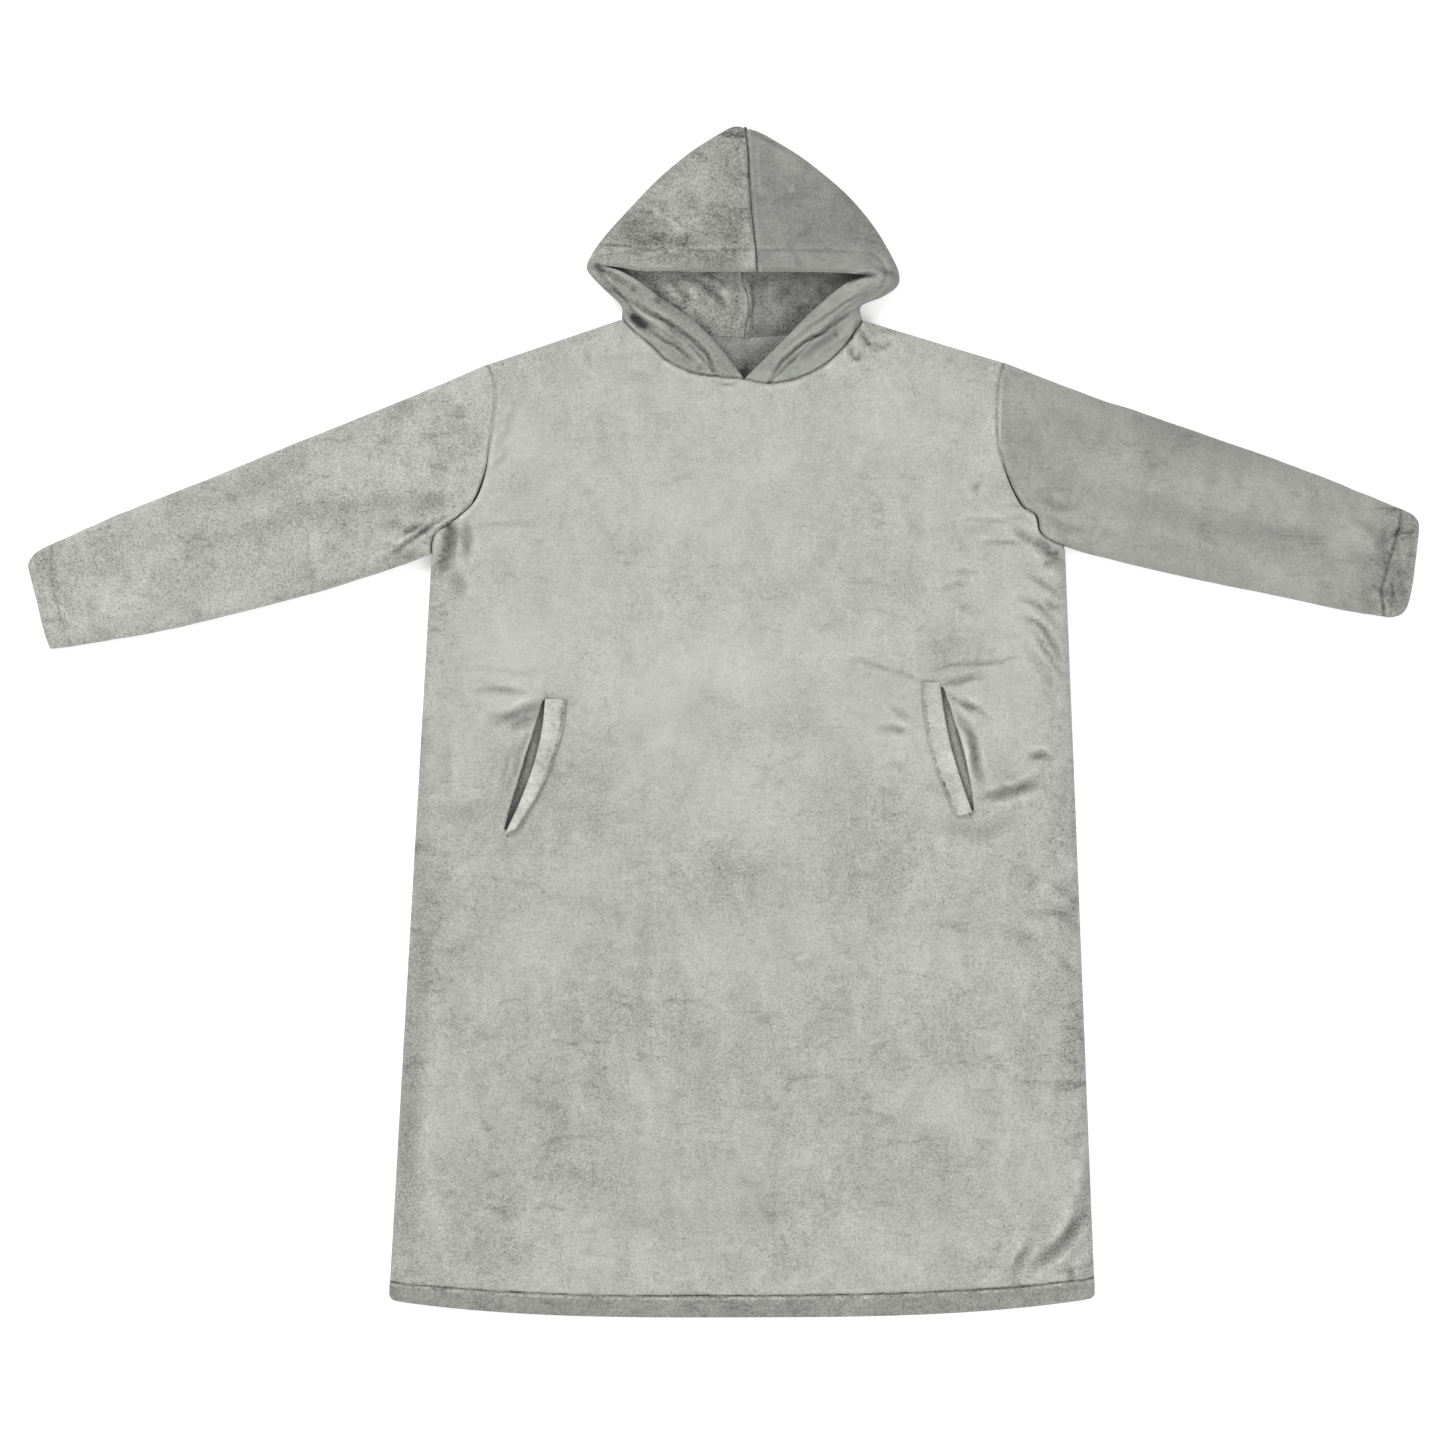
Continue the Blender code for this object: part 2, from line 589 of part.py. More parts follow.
# ---------------------------------------------------------------- pockets
def pocket(side, front_panel):
    lip, far, edge = WELT_LIP[side], FAR_LIP[side], WELT_EDGE[side]
    slit = flat_piece(f"{side}_slit", [*lip, *far[::-1]], 0, 4 * BODY_HEIGHT, FLEECE_MATERIAL)
    slit.location.z = BODY_HEIGHT * 2.5 * MM
    cut = front_panel.modifiers.new(f"{side}_slit", "BOOLEAN")
    cut.operation = "DIFFERENCE"
    cut.object = cutter_from(slit)

    top = BODY_HEIGHT + LAYER_GAP
    flat_piece(f"{side}_pocket_welt", [*edge, *lip[::-1]], top, WELT_THICKNESS, FLEECE_MATERIAL)

    inwards = 1 if side == "right" else -1
    (top_x, top_y), (low_x, low_y) = lip[0], lip[-1]
    inner, bottom = top_x + inwards * BAG_REACH, low_y - BAG_DEPTH
    above, below = BAG_CORNERS
    toe_in, toe_out, toe_up = BAG_TOE
    bag = [
        (inner - inwards * above, top_y),
        (inner, top_y - above),
        (inner, bottom + below),
        (inner - inwards * below, bottom),
        (low_x + inwards * toe_in, bottom),
        (low_x - inwards * toe_out, bottom + toe_up),
    ]
    front_bottom = BODY_HEIGHT - CLOTH - LAYER_GAP - BAG_THICKNESS
    back_bottom = front_bottom - BAG_SPACE - BAG_THICKNESS
    front_side = [(x + inwards, y) for x, y in lip[::-1]]
    back_side = [(x - inwards * 10, y) for x, y in far[::-1]]
    flat_piece(f"{side}_pocket_front_bag", bag + front_side, front_bottom, BAG_THICKNESS, BAG_MATERIAL)
    flat_piece(f"{side}_pocket_back_bag", bag + back_side, back_bottom, BAG_THICKNESS, BAG_MATERIAL)

    centre = ((low_x + inner) / 2, (top_y + bottom) / 2)
    rim = [mix(point, centre, 0.05) for point in bag]
    height = front_bottom - BAG_SPACE / 2
    path = [(*point, height) for point in rim]
    overlocked_seam(f"{side}_pocket_bag_seam", path, radius=BAG_SPACE / 2 - LAYER_GAP)


# ---------------------------------------------------------------- assembly
clear_scene()
ROBE = new_collection("bathrobe")
CUTTERS = new_collection("cutters")
FLEECE_MATERIAL = cloth_material("fleece", FLEECE, 0.9)
BAG_MATERIAL = cloth_material("pocket_fleece", FLEECE_INSIDE, 0.9)
THREAD_MATERIAL = cloth_material("overlock_thread", THREAD, 0.7)

front = body_panel("front_panel", FRONT_NECKLINE, 1)
body_panel("back_panel", BACK_NECKLINE, -1)
hem_band("front_hem", 1)
hem_band("back_hem", -1)
side_and_shoulder_seams()
neck_seam()
for wearer_side in ("right", "left"):
    sleeve(wearer_side)
    armhole_seam(wearer_side)
    pocket(wearer_side, front)
    collar(wearer_side)
hood = [hood_panel("right"), hood_panel("left"), hood_face_hem(), hood_centre_seam()]
fold_ends = [(HOOD_OUTLINE[wearer_side][0][0], HOOD_FOLD_Y) for wearer_side in ("right", "left")]
fold_axis("hood_fold", *fold_ends, HOOD_FOLD_HEIGHT, hood)
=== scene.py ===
"""The looks of the hooded fleece robe: soft panels, creases, seams, pile, studio and camera.

Everything is laid out in millimetres in the frame's own axes (+X the wearer's left, +Y
towards the hood, +Z up from the floor) and turned into metres when a mesh is made.
"""

import json

import bmesh
import bpy
import numpy as np
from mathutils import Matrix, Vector


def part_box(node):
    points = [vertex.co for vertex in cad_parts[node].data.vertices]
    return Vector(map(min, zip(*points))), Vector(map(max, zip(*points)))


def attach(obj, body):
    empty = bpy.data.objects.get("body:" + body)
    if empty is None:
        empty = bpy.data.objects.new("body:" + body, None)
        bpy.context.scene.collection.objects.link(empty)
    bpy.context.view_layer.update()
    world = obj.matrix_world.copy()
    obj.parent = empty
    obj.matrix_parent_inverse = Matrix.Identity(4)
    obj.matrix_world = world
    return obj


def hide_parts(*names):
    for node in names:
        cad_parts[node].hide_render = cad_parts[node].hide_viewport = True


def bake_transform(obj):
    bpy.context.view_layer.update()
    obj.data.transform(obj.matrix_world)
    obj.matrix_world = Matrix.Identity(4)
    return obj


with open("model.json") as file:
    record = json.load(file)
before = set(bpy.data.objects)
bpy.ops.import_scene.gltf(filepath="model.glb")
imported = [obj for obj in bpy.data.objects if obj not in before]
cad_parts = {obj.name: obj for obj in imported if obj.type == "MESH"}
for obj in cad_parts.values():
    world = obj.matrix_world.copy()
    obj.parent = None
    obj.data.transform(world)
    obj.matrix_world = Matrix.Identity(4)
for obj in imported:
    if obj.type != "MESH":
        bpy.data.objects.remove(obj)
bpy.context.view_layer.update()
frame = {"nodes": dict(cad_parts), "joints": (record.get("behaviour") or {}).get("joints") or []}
MM = 0.001
SIDES = ("right", "left")
INWARDS = {"right": 1, "left": -1}

# ---------------------------------------------------------------- sizes, mm
CLOTH = 2.6  # one layer of plush
BODY_HEIGHT = 26.0
CUFF_HEIGHT = 19.0
HOOD_HEIGHT = 36.0
BODY_EDGE = 24.0  # how far in from its edge the lying body reaches its full height
HOOD_EDGE = 40.0
HOOD_BAND = 23.0  # how deep the crown's edge is turned in and stitched
HEM_THICKNESS = 5.6
CUFF_THICKNESS = 3.4
WELT_THICKNESS = 6.2
BAG_THICKNESS = 1.6
SEAM_HALF_GAP = 0.45
EDGE_HALF_GAP = 0.12  # between front and back where they meet at the side
CELL = 4.3  # spacing of a panel's vertices
BACK_CELL = 7.0
CUFF_CELL = 3.0
BAG_CELL = 3.5
CREASE_LIFT = 1.25  # how much deeper all creases are than their lists say, and how much stronger their painted shade and highlights are
CREASE_TONE = 1.5

# ---------------------------------------------------------------- outlines as laid, mm
SHOULDER_TIP = {"right": (-259, 395), "left": (310, 397)}
ARMPIT = {"right": (-321, 186), "left": (378, 194)}
HEM_CORNER = {"right": (-368, -636), "left": (411, -634)}
NECK_SIDE = {"right": (-111, 445), "left": (154, 444)}
HEM_SAG = 20.0
HEM_DEPTH = {"right": 18.5, "left": 21.0}
HEM_SWELL = 3.5  # how much deeper the hem is away from its corners
HEM_ROUND = 6.0  # radius of the hem's corners

# From the armpit up to the shoulder tip.
ARMHOLE = {
    "right": (
        (-321, 186), (-319, 203), (-308, 216), (-291, 227), (-273, 246), (-261, 278), (-255, 315),
        (-250, 358), (-252, 377), (-259, 395),
    ),
    "left": (
        (378, 194), (362, 200), (350, 210), (346, 228), (333, 236), (324, 250), (314, 272), (305, 298),
        (302, 330), (303, 365), (310, 397),
    ),
}
NECKLINE = {
    "front": ((-111, 445), (-93, 427), (-75, 412), (-62, 399), (-36, 386), (-10, 381), (24, 378), (50, 373),
              (81, 378), (107, 390), (127, 406), (143, 424), (154, 444)),
    "back": ((-111, 445), (-85, 436), (-50, 430), (24, 425), (98, 430), (130, 436), (154, 444)),
}
SLEEVE_UPPER = {
    "right": ((-259, 395), (-311, 373), (-399, 337), (-487, 302), (-575, 266), (-663, 232), (-738, 199),
              (-753, 191.5), (-761, 185.5), (-764, 181)),
    "left": ((310, 397), (349, 382), (415, 357), (459, 343), (547, 313), (635, 282), (723, 247), (752, 235),
             (762, 230), (766, 226)),
}
SLEEVE_LOWER = {
    "right": ((-321, 186), (-355, 173), (-443, 145), (-531, 122), (-619, 101), (-707, 86), (-742, 81)),
    "left": ((378, 194), (415, 183), (503, 162), (591, 144), (679, 125), (723, 118), (735, 116)),
}
# The cuff's open end, from its lower to its upper corner.
CUFF_END = {
    "right": ((-742, 81), (-749, 104), (-757, 138), (-764, 165), (-766, 174), (-764, 181)),
    "left": ((735, 116), (746, 118), (754, 126), (759, 143), (763, 170), (767, 205), (768, 219), (766, 226)),
}
# The line that stitches the cuff's hem, from the lower to the upper edge.
CUFF_STITCH = {
    "right": ((-719, 84), (-728, 112), (-738, 150), (-740, 197)),
    "left": ((730, 117), (728, 133), (727, 149), (731, 164), (736, 181), (741, 198), (746, 216), (749, 236)),
}

# The hood: the edge of the face opening from the V at the neck to the hood's corner, then
# along the crown to the centre seam, and the outer edge from the V round to the apex.
APEX = (25, 655)
FACE_LOW = {
    "right": ((24, 379), (2, 407), (-23, 434), (-44, 451), (-68, 467), (-90, 484), (-112, 496), (-136, 503)),
    "left": ((24, 379), (50, 404), (81, 435), (97, 451), (115, 467), (136, 483), (156, 492)),
}
CROWN_EDGE = {
    "right": ((-136, 503), (-112, 500), (-88, 496), (-62, 496), (-23, 495), (38, 495)),
    "left": ((156, 492), (133, 494), (85, 495), (38, 495)),
}
CENTRE_SEAM = ((38, 495), (37, 515), (33, 552), (30, 590), (28, 625), APEX)
NECK_FRONT = {
    "right": ((24, 378), (-10, 381), (-36, 386), (-62, 399), (-75, 412), (-93, 427), (-111, 445)),
    "left": ((24, 378), (50, 373), (81, 378), (107, 390), (127, 406), (143, 424), (154, 444)),
}
HOOD_EDGE_LINE = {
    "right": ((-111, 445), (-112, 460), (-131, 478), (-147, 495), (-149, 506), (-134, 531), (-103, 566),
              (-69, 601), (-35, 629), (-2, 650), (10, 656), (17, 657), APEX),
    "left": ((154, 444), (153, 459), (176, 469), (192, 480), (195, 493), (187, 513), (166, 548), (135, 584),
             (93, 619), (62, 639), (40, 651), APEX),
}
HOOD_CORNER = {"right": (-149, 503), "left": (195, 489)}
BACK_NECK_CENTRE = (24, 425)
BACK_NECK_RISE = 7.4  # how far the seam at the back of the neck lifts the cloth
BACK_SEAM = (BACK_NECK_CENTRE, (29, 458), (26, 477), (20, 496), (28, 558), (28, 600), (26, 635), APEX)
# Shares of lengths: of the low face edge where the neck ends, of the outer edge where the crown ends.
NECK_SHARE = 0.62
CROWN_SHARE = 0.62

# Pocket slits, from the top down: the mouth edge of the welt, its outer edge, and the far lip.
WELT_MOUTH = {
    "right": ((-195, 26), (-199, -10), (-208, -47), (-222, -85), (-239, -122)),
    "left": ((239, 44), (244, 10), (251, -25), (262, -62), (275, -99)),
}
WELT_OUTER = {
    "right": ((-171, 26), (-176, -8), (-186, -43), (-204, -80), (-226, -117)),
    "left": ((220, 44), (221, 14), (227, -25), (238, -62), (257, -104)),
}
SLIT = {"right": (26, -121, 6.6), "left": (42, -98, 6.2)}  # top, bottom, half its widest opening
WELT_TONE = {"right": 0.3, "left": 0.16}  # its pile is brushed up, so it is lighter than the panel
HEM_TONE = -0.34
STITCH_MARK = {"right": 0.35, "left": 1.0}  # how plainly the cuff's stitches show: the depth of their groove, and the strength of its painted shade and highlight
FRAYED = {"right": 0.3, "left": 1.3}  # how much more ruffled the pile is at the cuff

# ---------------------------------------------------------------- creases
# Each crease: its points, its half-width, how far it lifts the cloth, mm, and its tone, which is painted
# light and shade: below 0 painted shade down a fold, above 0 a painted highlight along a ridge.
FRONT_CREASES = (
    # the folds under the wearer's right arm
    (((-305, 226), (-300, 208), (-302, 188), (-313, 164)), 7.6, -6.0, -0.48),
    (((-285, 221), (-281, 200), (-281, 182)), 5.0, -3.0, -0.34),
    (((-293, 216), (-291, 190)), 3.5, 2.5, 0.08),
    (((-300, 162), (-287, 150), (-293, 140)), 6, -2.0, -0.2),
    (((-316, 190), (-318, 172)), 4, 1.5, 0.05),
    (((-280, 214), (-251, 217), (-200, 218)), 3, -0.8, -0.1),
    (((-226, 351), (-238, 318), (-248, 300)), 4, -1.3, -0.09),
    (((-236, 302), (-244, 288), (-252, 280)), 3, -1.6, -0.12),
    (((-150, 408), (-147, 392)), 4, -1.2, -0.1),
    # round the right pocket
    (((-274, 34), (-251, 36), (-217, 32)), 3.2, -2.6, -0.24),
    (((-252, 2), (-228, 7), (-206, 15), (-196, 21)), 6.0, -3.6, -0.36),
    (((-236, -9), (-219, -2), (-204, 6)), 4.4, -2.8, -0.34),
    (((-262, 24), (-236, 22), (-208, 26)), 4, 1.8, 0.06),
    (((-212, -4), (-220, -27), (-228, -50), (-238, -78)), 2.6, -2.2, -0.2),
    (((-206, -10), (-213, -35), (-224, -66), (-236, -96)), 3.0, 2.0, 0.1),
    (((-228, -26), (-237, -48), (-240, -70)), 4, -1.6, -0.14),
    (((-302, 0), (-302, -82)), 5, -1.0, -0.07),
    (((-331, 10), (-332, -90)), 6, -1.2, -0.1),
    (((-294, 61), (-250, 58), (-209, 51)), 3, -0.8, -0.08),
    (((-322, -98), (-290, -100), (-256, -93)), 8, -0.8, -0.09),
    (((-244, -134), (-230, -150)), 7, -1.0, -0.11),
    # round the left pocket
    (((240, 42), (262, 46), (286, 51)), 4.5, -2.6, -0.28),
    (((230, 57), (261, 64), (290, 66), (328, 72)), 2.4, -2.4, -0.2),
    (((232, 63), (262, 70), (300, 74)), 2.6, 1.6, 0.07),
    (((242, 34), (261, 22), (282, 15), (297, 0)), 2.4, -2.4, -0.22),
    (((250, 36), (270, 28), (290, 24)), 3, 1.6, 0.07),
    (((264, 22), (280, 13)), 4, -2.4, -0.26),
    (((257, 9), (270, -9), (277, -25), (282, -53), (287, -68)), 4.8, -3.8, -0.32),
    (((252, 14), (262, -8), (271, -40), (275, -66)), 3.4, 2.0, 0.1),
    (((285, -82), (306, -79), (328, -74), (350, -63)), 5.2, -4.4, -0.36),
    (((286, -72), (315, -66), (348, -53), (374, -57)), 2.8, 2.2, 0.09),
    (((338, -39), (350, -36), (362, -39)), 4.5, -3.2, -0.34),
    (((328, -26), (361, -29), (381, -39)), 2.4, 1.8, 0.07),
    (((140, 70), (165, 63), (194, 55), (219, 46)), 2.6, -2.4, -0.18),
    (((186, 16), (198, 8), (209, 2)), 4, -1.8, -0.18),
    (((171, -8), (188, -8), (205, -11)), 4, -2.0, -0.26),
    (((182, -45), (203, -48)), 4.5, -1.0, -0.12),
    (((173, -74), (195, -79)), 4.5, -1.0, -0.14),
    (((236, -116), (280, -120), (307, -115), (328, -107)), 8, -1.2, -0.14),
    # under the wearer's left arm
    (((265, 225), (306, 222), (336, 227)), 2.2, -1.8, -0.13),
    (((262, 231), (304, 229), (338, 234)), 2.4, 1.4, 0.06),
    (((284, 202), (306, 203), (332, 202)), 2.2, 1.8, 0.07),
    (((286, 197), (308, 197), (334, 196)), 2.2, -1.8, -0.12),
    (((269, 213), (299, 212)), 5, -0.8, -0.1),
    (((322, 213), (341, 199)), 4.5, -2.4, -0.24),
    (((344, 202), (357, 190), (374, 170)), 6, -5.0, -0.46),
    (((352, 176), (360, 171)), 3.4, -2.4, -0.4),
    (((363, 192), (371, 186)), 4, -2.4, -0.4),
    (((345, 240), (349, 226), (352, 212)), 3.4, -1.8, -0.3),
    (((336, 163), (360, 147), (375, 137)), 2.8, -2.8, -0.22),
    (((356, 134), (368, 126)), 3.6, -2.2, -0.22),
    (((327, 138), (345, 131), (357, 121), (370, 101)), 2.8, -2.8, -0.24),
    (((327, 114), (348, 109), (365, 84), (373, 65)), 3.2, -3.0, -0.28),
    (((344, 101), (360, 72), (377, 48)), 2.6, -2.6, -0.22),
    (((332, 128), (352, 112), (366, 92)), 2.6, 2.0, 0.08),
    (((350, 98), (366, 72), (377, 60)), 2.6, 1.8, 0.07),
    (((330, 90), (350, 60), (366, 36)), 5, -1.4, -0.1),
    (((274, 262), (282, 258)), 4.5, -1.4, -0.24),
    (((206, 222), (220, 204)), 6, -0.8, -0.1),
    (((254, 163), (278, 168)), 3.4, -1.4, -0.14),
    (((242, 146), (270, 155)), 3.2, -1.4, -0.14),
    (((262, 130), (268, 124)), 3.4, -1.0, -0.16),
    # below the V of the neck
    (((-12, 376), (1, 371), (22, 373)), 2.0, -1.8, -0.26),
    (((-10, 380), (4, 376), (20, 376)), 2.0, 1.6, 0.1),
    # beside the neck, on the left shoulder
    (((150, 436), (156, 422), (165, 413), (176, 412), (186, 416)), 2.6, -3.0, -0.4),
    (((139, 416), (142, 404), (150, 399), (153, 406)), 2.6, -2.4, -0.36),
    (((168, 424), (184, 426)), 2.6, 1.8, 0.08),
    (((172, 430), (192, 432)), 3.0, -1.6, -0.16),
    # ripples along the left edge and the bottom corner
    (((362, -176), (380, -188), (394, -198)), 4, -2.6, -0.18),
    (((360, -170), (394, -186)), 3, 1.6, 0.05),
    (((366, -206), (396, -232)), 4.5, -2.2, -0.16),
    (((368, -258), (398, -286)), 4.5, -2.4, -0.15),
    (((374, -330), (400, -352)), 5, -1.8, -0.12),
    (((292, -598), (300, -585), (309, -566)), 5, -1.8, -0.1),
    (((318, -612), (327, -595), (339, -572)), 5, -3.4, -0.25),
    (((310, -608), (318, -590), (328, -572)), 3.4, 2.0, 0.07),
    (((338, -600), (354, -590), (372, -575), (389, -555), (408, -530)), 6.2, -4.6, -0.3),
    (((346, -608), (366, -596), (386, -578), (406, -554)), 4.0, 2.4, 0.08),
    (((383, -598), (383, -606), (384, -616)), 3.6, -2.6, -0.36),
    (((380, -560), (398, -520), (404, -480)), 6, -2.4, -0.18),
    # long soft dents of the skirt
    (((-340, -250), (-346, -420), (-352, -600)), 12, -1.4, -0.1),
    (((-200, -420), (-60, -500), (90, -520)), 26, -1.6, -0.02),
    (((-120, -330), (-70, -420)), 24, 1.6, 0.02),
    (((100, -300), (150, -400), (140, -500)), 24, -1.4, -0.02),
    (((-40, -150), (30, -190), (110, -180)), 30, -1.2, -0.02),
)
# Where the pile lies brushed another way: soft patches without relief. Each: its line, half-width and tone.
FRONT_PATCHES = (
    (((-87, -202), (-84, -275)), 10, -0.13),
    (((-55, -202), (-52, -282)), 6, -0.09),
    (((-7, -130), (-3, -202)), 12, -0.08),
    (((14, -145), (36, -173), (22, -217)), 10, -0.11),
    (((58, -217), (72, -275)), 14, -0.08),
    (((-159, -188), (-116, -217)), 12, -0.11),
    (((-173, -217), (-181, -260)), 14, -0.07),
    (((14, -347), (72, -390), (58, -448)), 16, -0.09),
    (((-43, -361), (-14, -434)), 14, -0.06),
    (((-145, -419), (-72, -434)), 18, -0.07),
    (((-224, -405), (-173, -361)), 14, -0.06),
    (((-318, -491), (-217, -549)), 14, -0.07),
    (((-159, -506), (-43, -549), (72, -542)), 20, -0.08),
    (((130, -462), (188, -549)), 16, -0.08),
    (((202, -477), (260, -564)), 14, -0.08),
    (((232, -586), (278, -592)), 11, -0.1),
    (((72, -303), (130, -318)), 14, -0.06),
    (((-329, -130), (-335, -303)), 8, -0.16),
    (((-332, -246), (-296, -202), (-260, -166)), 5, -0.1),
    (((-325, -202), (-289, -145)), 5, -0.09),
    (((-347, -549), (-340, -390)), 9, -0.12),
    (((379, -188), (390, -434)), 9, -0.09),
    (((318, -289), (347, -405)), 10, -0.06),
    (((217, -303), (246, -332)), 10, -0.06),
    (((-238, 361), (-159, 318)), 12, -0.06),
    (((-224, 246), (-173, 303)), 14, -0.05),
    (((-101, 405), (-14, 383)), 8, -0.05),
    (((217, 361), (282, 318)), 14, -0.07),
    (((246, 231), (267, 188)), 6, -0.12),
    (((130, 318), (72, 246)), 20, -0.04),
    (((-72, 159), (14, 116)), 24, -0.03),
    (((-116, 101), (72, 43)), 50, 0.04),
    (((130, 72), (202, 101)), 16, 0.05),
    (((58, -14), (159, -7)), 12, -0.06),
    (((58, -72), (145, -87)), 16, -0.06),
    (((-217, -72), (-101, -130)), 20, -0.05),
)
SLEEVE_PATCHES = {
    "right": (
        (((-708, 181), (-506, 275), (-318, 361)), 14, -0.12),
        (((-564, 188), (-448, 238), (-332, 253), (-267, 267)), 12, -0.1),
        (((-607, 173), (-564, 202)), 10, -0.15),
        (((-390, 267), (-361, 238)), 9, -0.1),
        (((-708, 101), (-607, 127), (-462, 173)), 8, -0.08),
        (((-376, 217), (-318, 210)), 8, -0.12),
        (((-744, 173), (-722, 116)), 8, -0.08),
        (((-296, 347), (-267, 303)), 10, -0.1),
    ),
    "left": (
        (((347, 376), (506, 325), (665, 260)), 15, -0.12),
        (((361, 347), (412, 296)), 16, -0.1),
        (((462, 296), (506, 282)), 14, -0.07),
        (((549, 231), (650, 195)), 12, -0.08),
        (((506, 173), (592, 159)), 10, -0.07),
        (((390, 217), (506, 188)), 12, -0.06),
        (((708, 224), (737, 188)), 10, -0.1),
        (((419, 246), (477, 260)), 12, 0.05),
    ),
}
HOOD_PATCHES = {
    "right": (
        (((-22, 630), (-50, 620)), 7, -0.16),
        (((-6, 612), (12, 596)), 8, -0.16),
        (((-112, 556), (-66, 545)), 20, -0.17),
        (((-102, 548), (-60, 538)), 12, -0.12),
        (((-122, 533), (-56, 524)), 12, -0.15),
        (((-8, 547), (20, 531)), 11, -0.22),
        (((-26, 504), (16, 506)), 6, -0.24),
        (((-76, 506), (-50, 504)), 5, -0.12),
        (((-51, 578), (-22, 564)), 9, -0.12),
        (((14, 607), (26, 564)), 7, -0.12),
        (((-8, 595), (19, 572)), 12, 0.12),
        (((-60, 548), (-30, 530)), 8, 0.1),
        (((-52, 598), (-80, 576)), 9, 0.12),
    ),
    "left": (
        (((58, 636), (98, 596)), 13, 0.13),
        (((50, 560), (145, 545)), 24, -0.08),
        (((52, 505), (66, 503)), 7, -0.14),
        (((84, 506), (92, 504)), 5, -0.12),
        (((134, 527), (150, 513)), 6, 0.12),
        (((120, 590), (160, 545)), 9, -0.08),
    ),
}
SLEEVE_CREASES = {
    "right": (
        (((-311, 246), (-420, 226), (-560, 204), (-668, 190)), 15, -1.6, -0.08),
        (((-298, 228), (-318, 218), (-345, 199), (-374, 178)), 2.6, -2.4, -0.26),
        (((-302, 233), (-322, 223), (-350, 203), (-378, 184)), 2.4, 1.4, 0.08),
        (((-352, 206), (-340, 216), (-327, 213)), 4, -2.4, -0.2),
        (((-366, 193), (-350, 185), (-338, 190)), 4, -2.0, -0.16),
        (((-330, 236), (-318, 244), (-304, 240)), 7, -2.6, -0.2),
        (((-376, 214), (-352, 222)), 5, -1.6, -0.12),
        (((-295, 340), (-280, 345)), 6, -1.8, -0.14),
        (((-360, 345), (-336, 350)), 12, -1.2, -0.14),
        (((-440, 255), (-600, 245)), 22, -1.6, -0.05),
        (((-698, 102), (-672, 97)), 4, -1.6, -0.12),
        (((-610, 152), (-520, 170)), 16, -1.4, -0.06),
    ),
    "left": (
        (((352, 248), (372, 236), (392, 238)), 5, -2.6, -0.16),
        (((358, 226), (380, 212), (402, 214)), 4, -2.6, -0.16),
        (((398, 250), (520, 222), (650, 186)), 16, -1.8, -0.08),
        (((430, 330), (560, 288)), 18, -1.4, -0.06),
        (((330, 320), (352, 300)), 10, -1.4, -0.08),
        (((690, 190), (716, 172)), 9, -1.8, -0.1),
        (((604, 214), (660, 204)), 8, -1.4, -0.08),
        (((470, 200), (560, 176)), 9, -1.4, -0.06),
        # puckers by the cuff's stitches
        (((752, 230), (749, 216), (738, 206), (722, 197)), 2.6, -2.0, -0.2),
        (((757, 228), (755, 214), (745, 202)), 2.4, 1.4, 0.1),
        (((734, 216), (728, 208), (730, 198)), 3.0, -1.6, -0.18),
        (((721, 150), (727, 143), (736, 146)), 3.0, -1.8, -0.2),
        (((742, 150), (736, 134), (744, 126)), 3.0, -1.6, -0.16),
        (((761, 214), (759, 190), (756, 160)), 2.6, -1.6, -0.14),
        (((690, 226), (712, 216), (724, 212)), 5.0, -1.4, -0.1),
    ),
}
